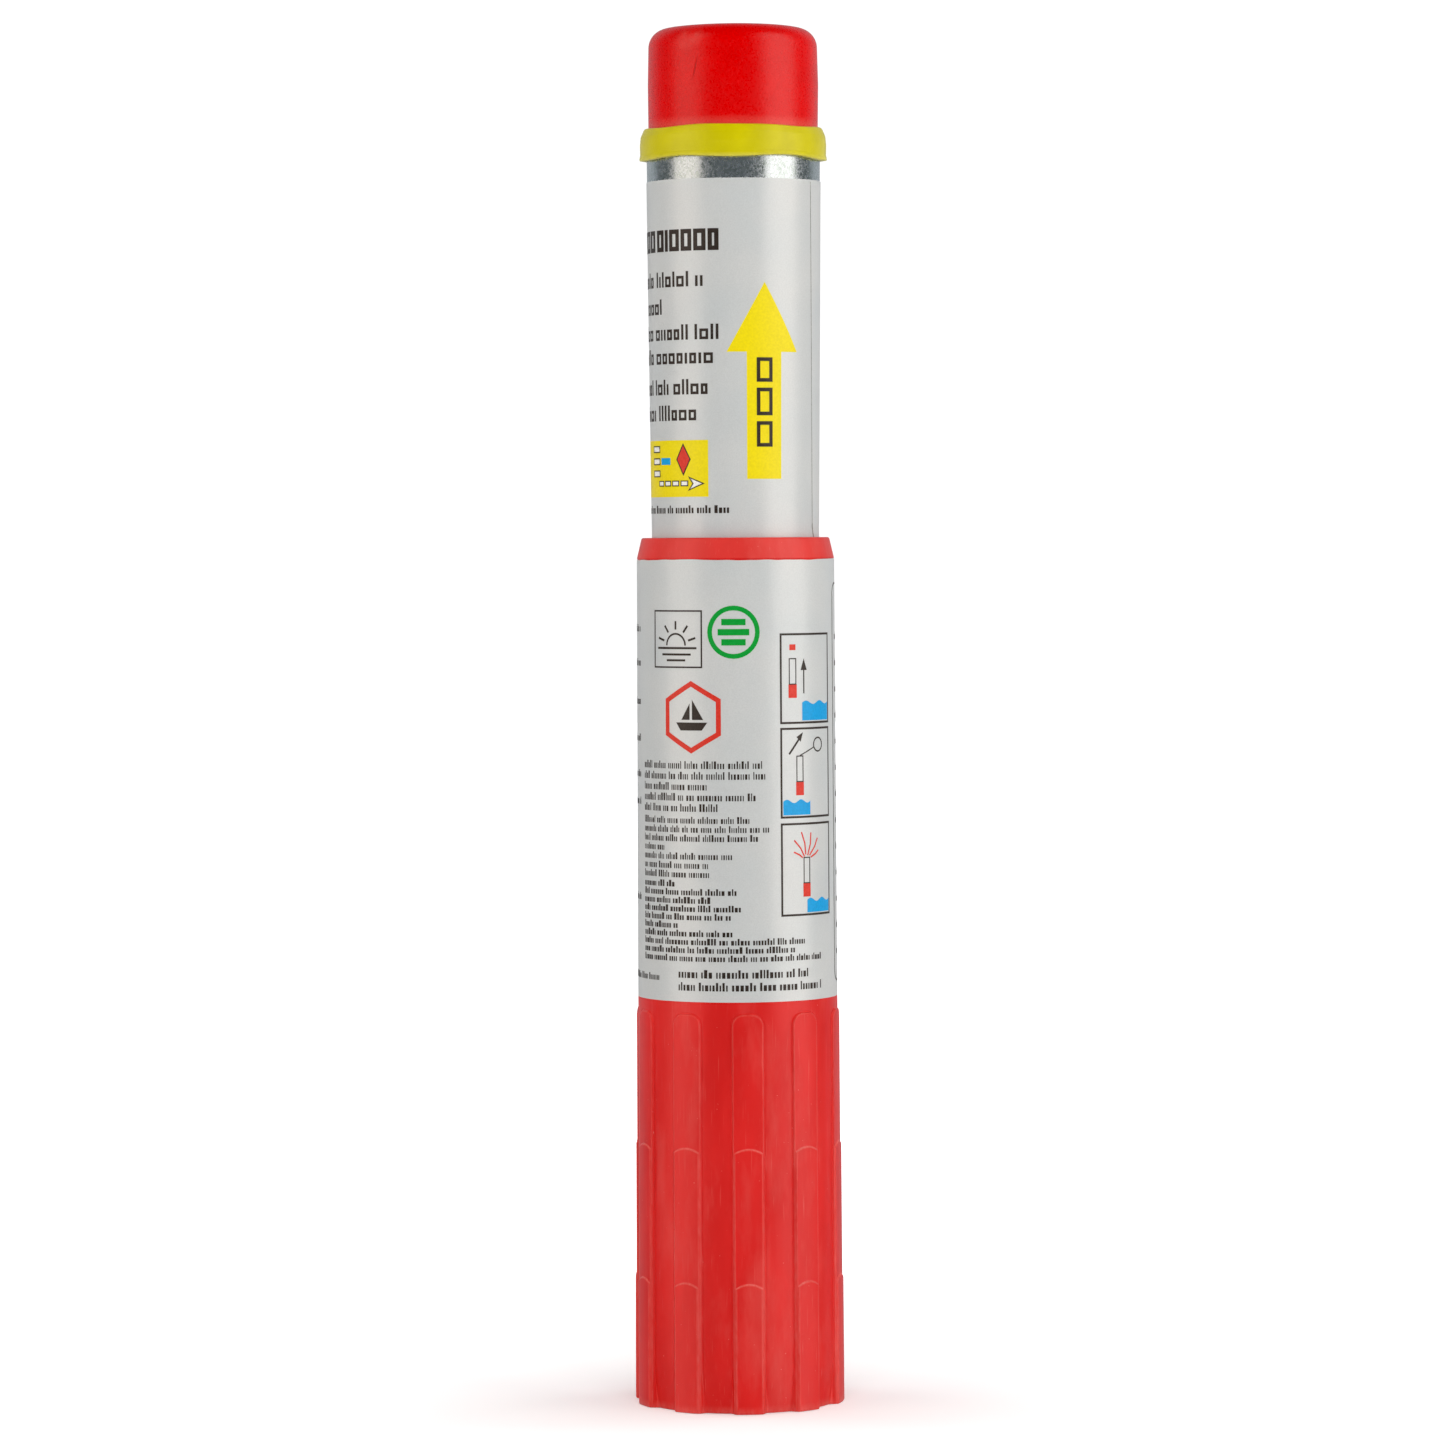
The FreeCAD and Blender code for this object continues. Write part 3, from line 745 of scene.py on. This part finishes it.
    points = add(tree, "GeometryNodePoints", {"Count": given["Ribs"]})
    number = add(tree, "GeometryNodeInputIndex")
    pitch = add(tree, MATH, {0: 2 * math.pi, 1: given["Ribs"]}, operation="DIVIDE")
    turn = add(tree, MATH, {0: number, 1: pitch}, operation="MULTIPLY")
    turn = add(tree, MATH, {0: turn, 1: given["Rib turn"]}, operation="ADD")
    euler = add(tree, "ShaderNodeCombineXYZ", {2: turn})
    rotation = add(tree, "FunctionNodeEulerToRotation", {0: euler})
    placed = {"Points": points, "Instance": rib, "Rotation": rotation}
    copies = add(tree, "GeometryNodeInstanceOnPoints", placed)
    real = add(tree, "GeometryNodeRealizeInstances", {0: copies})
    joined = add(tree, "GeometryNodeMergeByDistance", {"Geometry": real, "Distance": 2e-6})
    finished = add(tree, "GeometryNodeSetMaterial", {"Geometry": joined, "Material": given["Material"]})
    add(tree, "NodeGroupOutput", {0: finished})
    return tree


def socket_values(tree, values):
    """Pairs of a tree input's identifier and its value."""
    for item in tree.interface.items_tree:
        if item.in_out == "INPUT" and item.name in values:
            yield item.identifier, values[item.name]


def make_handle(material):
    """The moulded handle with its ten stepped ribs."""
    sector = bpy.data.objects.new("handle_sector", sector_mesh())
    bpy.context.collection.objects.link(sector)
    tree = grip_tree("stepped_grip")
    values = {
        "Ribs": RIBS,
        "Material": material,
        "Rib turn": math.radians(RIB_TURN),
        "Cone radius": GRIP_BASE,
        "Corner radius": PAD_CORNER,
        "Step sagitta": PAD_SAGITTA,
        "Edge softness": PAD_SOFTNESS,
        "Foot height": FOOT_HEIGHT,
        "Foot depth": FOOT_DEPTH,
        "Foot flank": FOOT_FLANK,
        "Groove depth": PAD_GROOVE,
    }
    for pad, (top, height, step) in enumerate(zip(PAD_TOPS, PAD_HEIGHTS, PAD_SIDE_STEPS), 1):
        values[f"Pad {pad} top"] = top
        values[f"Pad {pad} height"] = height
        values[f"Pad {pad} half width"] = RIB_HALF - step
    modifier = sector.modifiers.new("ribs", "NODES")
    modifier.node_group = tree
    for identifier, value in socket_values(tree, values):
        modifier[identifier] = value
    graph = bpy.context.evaluated_depsgraph_get()
    mesh = bpy.data.meshes.new_from_object(sector.evaluated_get(graph))
    bpy.data.objects.remove(sector)
    mesh.name = "handle_moulding"
    piece = put("handle_moulding", mesh, material)
    seat(piece, "flare", "handle_red", "handle")


def make_mould_marks(material):
    """Faint raised lines that the mould left on one rib."""
    rib = math.radians(RIB_TURN - 360 / RIBS) * GRIP_BASE
    marks = Sheet(0.0, lambda z: grip_cone(z) + PAD_HEIGHTS[1], GRIP_BASE)
    marks.stroke("mark", arc_points((rib - 0.4, 22.6), 12.2, 79, 101), 0.14)
    marks.print_on("middle_pad", {"mark": material}, "handle_red")
    marks = Sheet(0.0, lambda z: grip_cone(z) + PAD_HEIGHTS[2], GRIP_BASE)
    tab = [(rib - 2.2, 5.4)] + arc_points((rib + 1.5, 4.8), 0.6, 90, 0, 4)
    tab += arc_points((rib + 1.5, 4.1), 0.6, 0, -90, 4) + [(rib + 0.5, 3.5)]
    marks.stroke("mark", tab, 0.16)
    marks.print_on("low_pad", {"mark": material}, "handle_red")


# ------------------------------------------------------------------ case, cap and band


def make_case(material):
    """The drawn steel case with a rounded shoulder, a neck and a slightly turned-in mouth."""
    wall = 0.35
    neck = end_radius("case_tube", CASE_HIGH)
    shoulder_high = CAP_LOW - 0.3
    shoulder_low = shoulder_high - 1.5
    top = end_radius("case_tube", shoulder_low)
    bottom = end_radius("case_tube", CASE_LOW)
    corners = [
        (bottom - wall, CASE_LOW, 0.1),
        (bottom, CASE_LOW, 0.15),
        (top, shoulder_low, 1.2),
        (neck, shoulder_high, 0.7),
        (neck, CASE_HIGH, 0.15),
        (neck - wall, CASE_HIGH, 0.15),
        (neck - wall, shoulder_high - wall, 0.5),
        (top - wall, shoulder_low - wall, 0.8),
    ]
    piece = turned("case_shell", soften(corners), material, SIDES)
    seat(piece, "flare", "zinc_steel", "case_tube")


def make_cap(material):
    """The soft cap: a slightly barrelled cup with a full, rounded shoulder and a gate mark."""
    radius = end_radius("cap", CAP_LOW)
    bore = end_radius("cap", CAP_LOW, inner=True)
    middle = (CAP_LOW + CAP_HIGH) / 2
    ceiling = CAP_HIGH - 1.6
    crown = 0.2
    corners = [
        (bore, CAP_LOW, 0.2),
        (radius - 0.12, CAP_LOW, 0.35),
        (radius, middle, 30.0),
        (radius - 0.25, CAP_HIGH - 2 * crown, 4.1),
        (9.0, CAP_HIGH - 0.45 * crown, 9.0),
        (2.6, CAP_HIGH, 1.0),
        (2.2, CAP_HIGH - 0.25, 0.15),
        (0.0, CAP_HIGH - 0.25),
        (0.0, ceiling),
        (bore, ceiling, 2.3),
    ]

    def uneven(angle, r, z):
        """The moulding isn't quite round."""
        share = min(1.0, r / bore)
        out = 0.04 * math.sin(2 * angle + 0.7) + 0.025 * math.sin(5 * angle + z * 0.2)
        return out * share, 0.03 * math.sin(3 * angle + 1.0) * share

    piece = turned("cap_moulding", soften(corners, 12), material, SOFT_SIDES, uneven)
    seat(piece, "cap", "cap_red", "cap")


def make_band(material):
    """The soft sealing band, stretched over the joint, so that both its edges wander."""
    low_bore = end_radius("sealing_band", BAND_LOW, inner=True)
    high_bore = end_radius("sealing_band", BAND_HIGH, inner=True)
    outer = end_radius("sealing_band", BAND_LOW)
    step = CAP_LOW
    height = BAND_HIGH - BAND_LOW
    corners = [
        (low_bore, BAND_LOW + 0.25, 0.2),
        (outer - 0.02, BAND_LOW + 0.25, 0.25),
        (outer - 0.08, BAND_LOW + 0.9, 0.4),
        (outer - 0.19, BAND_LOW + 1.25, 0.5),
        (outer - 0.14, BAND_LOW + 3.2, 3.0),
        (outer - 0.3, BAND_LOW + height * 0.74, 1.2),
        (outer - 0.95, BAND_HIGH - 0.2, 0.4),
        (high_bore, BAND_HIGH - 0.2, 0.15),
        (high_bore, step),
        (low_bore, step - 0.3),
    ]

    def wander(angle, r, z):
        """Both edges rise and fall as the band goes round."""
        below = max(0.0, 1.0 - (z - BAND_LOW) / height)
        lower = -0.24 * math.cos(5 * angle) + 0.05 * math.sin(3 * angle + 0.4)
        upper = 0.12 * math.sin(4 * angle + 2.0) - 0.07 * math.cos(7 * angle)
        outside = max(0.0, (r - high_bore) / (outer - high_bore))
        out = 0.06 * math.sin(3 * angle + 1.1) * outside
        return out, lower * below * below + upper * (1 - below)

    piece = turned("band_ring", soften(corners, 8), material, SOFT_SIDES, wander)
    seat(piece, "band", "band_yellow", "sealing_band")


# ------------------------------------------------------------------ label films


def make_film(name, node, radius_at, edge_wave, seam, slant, material):
    """A label film wrapped round the flare, its end lapped over its start at a slanting seam.

    The lapped end's lower corner is rounded. edge_wave is how far the top edge wanders. seam is
    the seam's angle at the bottom edge and slant its turn over the label's height, in radians."""
    z0, z1 = low(node), high(node)
    lap = LABEL_LAP / radius_at(z0)
    heights = spread(z0, z0 + LABEL_CORNER, 0.3) + spread(z0 + LABEL_CORNER, z1, 9.0) + [z1]
    outline = [(radius_at(z), z) for z in heights]
    outline += [(radius_at(z) - FILM * 0.9, z) for z in reversed(heights)]

    def lapped(angle, r, z):
        """The lap on the outside, and a top edge that was cut by hand."""
        turn = (angle - seam) % (2 * math.pi)
        below = max(0.0, z0 + LABEL_CORNER - z)
        start = (LABEL_CORNER - math.sqrt(LABEL_CORNER**2 - below**2)) / radius_at(z0)
        outside = r > radius_at(z) - FILM * 0.5
        out = LAP_RISE if outside and start <= turn < lap else 0.0
        near_top = max(0.0, (z - z1 + WAVE_REACH) / WAVE_REACH)
        wave = math.sin(3 * angle + 0.5) + 0.6 * math.sin(7 * angle + 2.0) + 0.4 * math.sin(17 * angle)
        wave += 0.35 * math.sin(31 * angle + 1.0) * math.sin(2 * angle + 0.8)
        return out, -edge_wave * (1 + wave / 2.4) * near_top

    return turned(name, outline, material, SIDES, lapped, twist=slant / (z1 - z0))


# ------------------------------------------------------------------ print on the labels

INK = 0.022  # how proud one coat of ink stands
INK_ROOT = 0.012  # how deep it reaches into the film
SEAM_COAT = 4  # in coats of ink, to stand clear of the lap
WRAP_STEP = 0.8  # a wider shape is cut into strips, so that it follows the curve


class Sheet:
    """Flat shapes for one label, in millimetres round it from its front and up it from its foot."""

    def __init__(self, foot, radius_at, reference):
        self.foot = foot
        self.radius_at = radius_at
        self.reference = reference
        self.shapes = {}

    def area(self, ink, points, coat=1):
        """A filled shape with the given corners."""
        self.shapes.setdefault(ink, []).append((points, coat))

    def block(self, ink, left, right, bottom, top, coat=1):
        """A filled rectangle."""
        self.area(ink, [(left, bottom), (right, bottom), (right, top), (left, top)], coat)

    def stroke(self, ink, points, width, closed=False, coat=1):
        """A line of even width through the points, mitred at its corners."""
        count = len(points)
        sides = []
        for i, point in enumerate(points):
            here = Vector(point)
            before = Vector(points[i - 1]) if closed or i > 0 else None
            after = Vector(points[(i + 1) % count]) if closed or i < count - 1 else None
            way_in = (here - before if before else after - here).normalized()
            way_out = (after - here).normalized() if after else way_in
            along = (way_in + way_out).normalized()
            reach = width / 2 / max(0.35, along.dot(way_in))
            across = Vector((-along.y, along.x)) * reach
            sides.append((tuple(here + across), tuple(here - across)))
        for i in range(count if closed else count - 1):
            (a, b), (c, d) = sides[i], sides[(i + 1) % count]
            self.area(ink, [a, b, d, c], coat)

    def frame(self, ink, left, right, bottom, top, width, corner=0.0, coat=1):
        """The outline of a box, with rounded corners if a corner radius is given."""
        points = [(left, bottom), (right, bottom), (right, top), (left, top)]
        if corner:
            points = []
            points += arc_points((right - corner, bottom + corner), corner, -90, 0)
            points += arc_points((right - corner, top - corner), corner, 0, 90)
            points += arc_points((left + corner, top - corner), corner, 90, 180)
            points += arc_points((left + corner, bottom + corner), corner, 180, 270)
        self.stroke(ink, points, width, closed=True, coat=coat)

    def print_on(self, label, inks, slot="silver_film"):
        """Wraps the shapes on to the label, one piece of thin closed prisms for each ink."""
        for ink, shapes in self.shapes.items():
            verts, faces = [], []
            for points, coat in shapes:
                self.wrap(points, coat, verts, faces)
            name = f"{label}_print_{ink}"
            mesh = bpy.data.meshes.new(name)
            mesh.from_pydata(verts, [], faces)
            seat(put(name, mesh, inks[ink]), "flare", slot)

    def wrap(self, points, coat, verts, faces):
        """Adds one shape's prism, cut into strips where it is wide."""
        work = bmesh.new()
        work.faces.new([work.verts.new((u, v, 0)) for u, v in points])
        across = [u for u, _ in points]
        for cut in spread(min(across), max(across), WRAP_STEP)[1:]:
            geometry = work.verts[:] + work.edges[:] + work.faces[:]
            bmesh.ops.bisect_plane(work, geom=geometry, plane_co=(cut, 0, 0), plane_no=(1, 0, 0))
        for item in bmesh.ops.extrude_face_region(work, geom=work.faces[:])["geom"]:
            if isinstance(item, bmesh.types.BMVert):
                item.co.z = coat
        bmesh.ops.recalc_face_normals(work, faces=work.faces[:])
        first = len(verts)
        work.verts.index_update()
        for vert in work.verts:
            angle = vert.co.x / self.reference
            height = self.foot + vert.co.y
            lift = vert.co.z * INK if vert.co.z > 0 else -INK_ROOT
            radius = (self.radius_at(height) + lift) * MM
            verts.append((radius * math.sin(angle), -radius * math.cos(angle), height * MM))
        for item in work.faces:
            faces.append([first + v.index for v in item.verts])
        work.free()


def arc_points(centre, radius, start, end, steps=7):
    """Points round an arc, its ends given in degrees."""
    angles = [math.radians(start + (end - start) * i / steps) for i in range(steps + 1)]
    return [(centre[0] + radius * math.cos(a), centre[1] + radius * math.sin(a)) for a in angles]


def heading(tilt):
    """The direction that leans to the right of straight up, in degrees."""
    return Vector((math.sin(math.radians(tilt)), math.cos(math.radians(tilt))))


TALL_SHARE = 0.22  # of the marks in a dummy line
BOX_SHARE = 0.75  # of the low marks in larger text
LOW_MARK = 0.7  # these are shares of a tall mark's height
MARK_GAP = 0.16
WORD_GAP = 0.34
LEAST_MARK = 0.3


def dummy_line(sheet, left, right, base, size, weight, rng, open_boxes=False):
    """A line of dummy text from left to right: bars of two heights, grouped like words.

    size is the height of a tall mark and weight the width of its strokes, in millimetres. Larger
    text has small open boxes among its bars."""
    marks, u = [], 0.0
    while u < right - left:
        for _ in range(rng.randint(3, 9)):
            tall = rng.random() < TALL_SHARE
            if open_boxes and not tall and rng.random() < BOX_SHARE:
                wide = size * rng.choice((0.48, 0.54, 0.6))
            else:
                wide = weight if open_boxes else weight * rng.choice((0.7, 1.0, 1.0, 1.5))
            marks.append((u, wide, tall))
            u += wide + size * MARK_GAP
        u += size * WORD_GAP
    marks = [mark for mark in marks if mark[0] < right - left - size * LEAST_MARK]
    fit = (right - left) / (marks[-1][0] + marks[-1][1])
    for start, wide, tall in marks:
        start, end = left + start * fit, left + (start + wide) * fit
        top = base + (size if tall else size * LOW_MARK)
        if wide > 2.6 * weight:
            inset = weight / 2
            sheet.frame("black", start + inset, end - inset, base + inset, top - inset, weight)
        else:
            sheet.block("black", start, end, base, top)


def dummy_paragraph(sheet, left, ends, middle, pitch, size, weight, rng):
    """Small lines under each other, the first centred on the given height."""
    for number, end in enumerate(ends):
        dummy_line(sheet, left, end, middle - size / 2 - number * pitch, size, weight, rng)


# ---- case label


def draw_seam(sheet):
    """A painted shadow along the label's lapped end, darkest round its lower corner, where the corner lifts.
    """
    tall = CASE_LABEL_HIGH - CASE_LABEL_LOW

    def along(height):
        """The seam's place round the label at one height."""
        return (CASE_SEAM + CASE_SEAM_SLANT * height / tall) * sheet.reference

    edge = [(along(height), height) for height in (tall - 0.4, LABEL_CORNER)]
    centre = (along(LABEL_CORNER) + LABEL_CORNER, LABEL_CORNER)
    sheet.stroke("seam_shadow", edge, 0.12, coat=SEAM_COAT)
    sheet.stroke("seam_shadow", arc_points(centre, LABEL_CORNER - 0.05, 180, 262, 12), 0.26, coat=SEAM_COAT)


def print_case_label(inks):
    """Heading, use lines, a yellow panel and an arrow that points to the end to open."""
    sheet = Sheet(CASE_LABEL_LOW, case_label_cone, case_label_cone((CASE_LABEL_LOW + CASE_LABEL_HIGH) / 2))
    rng = random.Random(7)
    u = -2.85
    heading_low, heading_high, stroke = 56.0, 60.1, 0.85
    for wide in (2.1, 2.5, 2.4, 2.5, 0.85, 2.3, 0, 2.3, 2.4, 2.2, 2.2, 2.3):
        if wide > 2 * stroke:
            edge = stroke / 2
            sheet.frame("black", u - wide + edge, u - edge, heading_low + edge, heading_high - edge, stroke)
        elif wide:
            sheet.block("black", u - wide, u, heading_low, heading_high)
        u -= wide + 0.4
    use_lines = ((50.4, -6.0), (45.3, -16.2), (40.4, -3.0), (35.9, -4.1), (30.1, -5.2), (25.2, -7.6))
    for middle, end in use_lines:
        dummy_line(sheet, rng.uniform(-40, -34), end, middle - 1.1, 2.9, 0.52, rng, open_boxes=True)
    dummy_line(sheet, -38, -1.2, 6.6, 1.5, 0.42, rng)

    panel_low, panel_high = 9.7, 20.4
    sheet.block("yellow", -30.0, -5.2, panel_low, panel_high)
    bars = [(u, u + 1.6, 11.8, 12.7) for u in (-11.2, -13.4, -15.6, -17.8)]
    bars += [(-20.4, -17.6, foot, foot + 1.1) for foot in (13.6, 15.9, 18.2)]
    for left, right, foot, head in bars:
        sheet.block("white", left, right, foot, head, coat=2)
        sheet.frame("black", left, right, foot, head, 0.2, coat=3)
    pointer = [(-9.3, 11.0), (-6.2, 12.2), (-9.3, 13.4), (-8.4, 12.2)]
    diamond = [(-10.6, 13.9), (-9.0, 16.8), (-10.6, 19.6), (-12.2, 16.8)]
    for ink, outline in (("white", pointer), ("red", diamond)):
        sheet.area(ink, outline, coat=2)
        sheet.stroke("black", outline, 0.22, closed=True, coat=3)
    sheet.block("blue", -17.0, -14.0, 15.8, 17.1, coat=2)

    middle, head_half, shaft_half = 5.8, 7.3, 3.5
    tail, neck, tip = 13.0, 36.9, 50.0
    arrow = [(middle - shaft_half, tail), (middle + shaft_half, tail), (middle + shaft_half, neck)]
    arrow += [(middle + head_half, neck), (middle, tip), (middle - head_half, neck)]
    sheet.area("yellow", arrow + [(middle - shaft_half, neck)])
    for foot, top in ((19.0, 23.9), (24.9, 30.2), (31.2, 35.9)):
        sheet.frame("black", middle - 1.25, middle + 1.25, foot + 0.4, top - 0.4, 0.7, coat=2)
    draw_seam(sheet)
    sheet.print_on("case", inks)


# ---- handle label


def draw_flare(sheet, middle, foot):
    """A small picture of the flare: an outlined case over a red handle."""
    sheet.block("red", middle - 0.95, middle + 0.95, foot, foot + 2.6)
    sheet.frame("black", middle - 0.75, middle + 0.75, foot + 2.6, foot + 7.4, 0.22)


def draw_water(sheet, left, right, foot, height):
    """Water with a waved surface."""
    count = 16
    surface = []
    for i in range(count + 1):
        share = i / count
        u = left + (right - left) * share
        surface.append((u, foot + height + 0.35 * math.sin(share * 4 * math.pi)))
    sheet.area("blue", [(left, foot), (right, foot)] + list(reversed(surface)))


def print_use_pictures(sheet):
    """Three framed pictures: lift the cap, pull the ring, flame."""
    left, right = 8.7, 21.9
    inset = 0.35
    for foot, head in ((52.5, 69.2), (34.7, 51.4), (16.2, 33.4)):
        sheet.frame("black", left, right, foot, head, 0.4)
    sheet_left, sheet_right = left + inset, right - inset

    draw_water(sheet, sheet_left + 4.5, sheet_right, 52.9, 3.4)
    draw_flare(sheet, 11.3, 57.2)
    sheet.block("red", 10.6, 12.0, 66.2, 67.3)
    sheet.stroke("black", [(14.0, 58.0), (14.0, 62.6)], 0.3)
    sheet.area("black", [(13.2, 62.4), (14.8, 62.4), (14.0, 64.6)])

    draw_water(sheet, sheet_left, sheet_left + 6.5, 35.1, 2.6)
    draw_flare(sheet, 12.9, 38.8)
    sheet.stroke("black", [(10.4, 46.6), (12.7, 49.4)], 0.4)
    sheet.area("black", [(12.1, 49.8), (13.1, 48.9), (13.7, 50.7)])
    sheet.stroke("black", [(12.9, 46.3), (16.6, 47.8)], 0.22)
    sheet.stroke("black", arc_points((17.9, 48.3), 1.3, 0, 342, 18), 0.28, closed=True)

    draw_water(sheet, sheet_left + 5.5, sheet_right, 16.6, 2.4)
    draw_flare(sheet, 14.5, 19.6)
    mouth, bow = Vector((14.5, 26.4)), Vector((0.3, 0.0))
    for tilt, near, far in (
        (-62, 1.2, 3.6),
        (-38, 1.0, 5.0),
        (-14, 1.2, 5.6),
        (12, 1.0, 5.4),
        (36, 1.2, 5.2),
        (60, 1.2, 3.8),
    ):
        start = mouth + heading(tilt) * near
        flame = heading(tilt) * (far - near)
        sheet.stroke("red", [tuple(start), tuple(start + flame * 0.5 + bow), tuple(start + flame)], 0.3)


def print_handle_label(inks):
    """Plain marks, three pictures of use and paragraphs of dummy text."""
    sheet = Sheet(HANDLE_LABEL_LOW, grip_cone, grip_cone((HANDLE_LABEL_LOW + HANDLE_LABEL_HIGH) / 2))
    rng = random.Random(11)

    sheet.frame("black", -17.9, -6.7, 63.1, 73.7, 0.3)
    sun = (-12.3, 67.2)
    sheet.stroke("black", arc_points(sun, 2.2, 0, 180, 12), 0.35)
    for tilt in (-72, -36, 0, 36, 72):
        ray = heading(tilt)
        sheet.stroke("black", [tuple(Vector(sun) + ray * 3.0), tuple(Vector(sun) + ray * 4.6)], 0.4)
    for base, half in ((66.5, 4.6), (65.3, 3.4), (64.2, 2.2)):
        sheet.block("black", sun[0] - half, sun[0] + half, base, base + 0.4)

    ring = (-0.5, 69.7)
    sheet.stroke("green", arc_points(ring, 4.55, 0, 350, 35), 0.9, closed=True)
    for lift, half in ((1.3, 2.3), (-0.6, 3.0), (-2.5, 2.3)):
        sheet.block("green", ring[0] - half, ring[0] + half, ring[1] + lift, ring[1] + lift + 1.2)

    badge = (-8.9, 53.7)
    sheet.stroke("red", arc_points(badge, 6.3, 90, 390, 5), 0.95, closed=True)
    boat = (
        ((-3.3, -1.0), (-2.3, -2.5), (2.2, -2.5), (3.3, -1.0)),
        ((0.2, -0.5), (2.5, -0.5), (0.2, 3.3)),
        ((-0.3, -0.5), (-0.3, 2.6), (-2.1, -0.5)),
    )
    for part in boat:
        sheet.area("black", [(badge[0] + u, badge[1] + v) for u, v in part])

    print_use_pictures(sheet)

    left = -22.1
    dummy_paragraph(sheet, left, (4.8, 5.4, -5.8, 3.5, -3.7), 44.7, 2.02, 1.45, 0.27, rng)
    dummy_paragraph(sheet, left, (2.3, 6.1, 3.9, -15.4, -1.0, -5.6, -5.4), 34.3, 1.7, 1.3, 0.25, rng)
    ends = (-12.8, -0.2, -5.2, 0.6, -1.3, -12.1, -1.0, 13.8, 11.4, 18.4)
    dummy_paragraph(sheet, left, ends, 22.3, 1.56, 1.25, 0.36, rng)
    dummy_paragraph(sheet, -11.9, (14.6, 18.4), 5.3, 2.4, 1.6, 0.42, rng)
    for middle in (70.4, 63.9, 56.6, 49.6, 42.8, 37.6, 19.4):
        dummy_line(sheet, -52.0, -24.4, middle - 0.7, 1.4, 0.27, rng)
    dummy_line(sheet, -52.0, -17.0, 3.8, 1.3, 0.25, rng)

    sheet.frame("black", 25.0, 44.0, 3.0, 78.7, 0.35, corner=2.2)
    for base in range(8, 72, 5):
        dummy_line(sheet, 27.0, rng.uniform(37, 42), base, 1.4, 0.27, rng)
    sheet.print_on("handle", inks)


# ------------------------------------------------------------------ making everything

make_camera()
make_world()
make_lights()
make_floor()

handle_red = moulded_polyethylene("moulded_red_polyethylene", "#DE2421", "#D01B18", "#EC8D82")
# The cap's pale rim just above the band is a painted reflection of the band.
cap_red = soft_vinyl(
    "soft_red_vinyl", "#DB0000", "#D50000", "#EE7064", (0.25, 0.4), (BAND_HIGH + 0.1, BAND_HIGH + 1.7), 0.0
)
band_yellow = soft_vinyl(
    "soft_yellow_vinyl", "#D0C602", "#C6BC00", "#E2DC8A", (0.34, 0.46), (BAND_LOW, BAND_LOW + 0.9), 0.16
)
film = silver_film()
steel = zinc_coated_steel()
inks = {
    "black": printing_ink("black_ink", "#2B2420", "#38302B"),
    "yellow": printing_ink("yellow_ink", "#F0DC05", "#E8D40A"),
    "green": printing_ink("green_ink", "#00962F", "#0A9C38"),
    "red": printing_ink("red_ink", "#D93A2B", "#D03022"),
    "blue": printing_ink("blue_ink", "#0AA0E0", "#1298D4"),
    "white": printing_ink("white_ink", "#F4F4EE", "#E6E6DF"),
    # The seam line is a painted shadow of the lapped edge, laid on as an ink.
    "seam_shadow": printing_ink("painted_shadow_along_the_seam", "#77746F", "#9A9995"),
}

make_handle(handle_red)
make_mould_marks(handle_red)
make_case(steel)
make_cap(cap_red)
make_band(band_yellow)

handle_film = make_film("handle_label_film", "handle_label", grip_cone, 0.17, HANDLE_SEAM, 0.0, film)
seat(handle_film, "flare", "silver_film", "handle_label")
case_film = make_film(
    "case_label_film", "case_label", case_label_cone, 0.05, CASE_SEAM, CASE_SEAM_SLANT, film
)
seat(case_film, "flare", "silver_film", "case_label")
print_case_label(inks)
print_handle_label(inks)

clay = pressed_powder("pressed_clay", "#B9A88F", "#A08E75", 0.4)
paper = pressed_powder("brown_paper", "#A98A62", "#8F7250", 0.25)
flare_mix = pressed_powder("pressed_flare_mix", "#B08A80", "#8F6C66", 0.3)
priming_mix = pressed_powder("black_priming_mix", "#3A3634", "#24211F", 0.25)
felt = pressed_powder("grey_felt", "#A8A49C", "#8C8880", 0.5)
card = pressed_powder("grey_card", "#A89474", "#937F60", 0.3)
friction_mix = pressed_powder("red_friction_mix", "#6A3028", "#54241E", 0.15)
foil = plain_metal("rolled_foil", "#D8DADB", "#C2C5C6", (0.25, 0.4), 4.0)
brass = plain_metal("drawn_brass", "#C8A24E", "#B08A3A", (0.25, 0.38), 3.0)
wire_steel = plain_metal("plated_wire", "#C4C6C6", "#A9ACAC", (0.2, 0.34), 3.0)
for node, material in (
    ("handle_end_plug", handle_red),
    ("case_base_disc", steel),
    ("base_plug", clay),
    ("liner_tube", paper),
    ("composition_1", flare_mix),
    ("composition_2", flare_mix),
    ("composition_3", flare_mix),
    ("first_fire", priming_mix),
    ("retaining_wad", felt),
    ("closure_washer", card),
    ("foil_disc", foil),
    ("igniter_tube", brass),
    ("friction_bead", friction_mix),
    ("pull_wire", wire_steel),
    ("pull_ring", wire_steel),
):
    dress(node, material)

view = bpy.context.scene.view_settings
view.view_transform = "Standard"
view.use_curve_mapping = True
view.curve_mapping.black_level = (0.009, 0.009, 0.009)
view.curve_mapping.update()
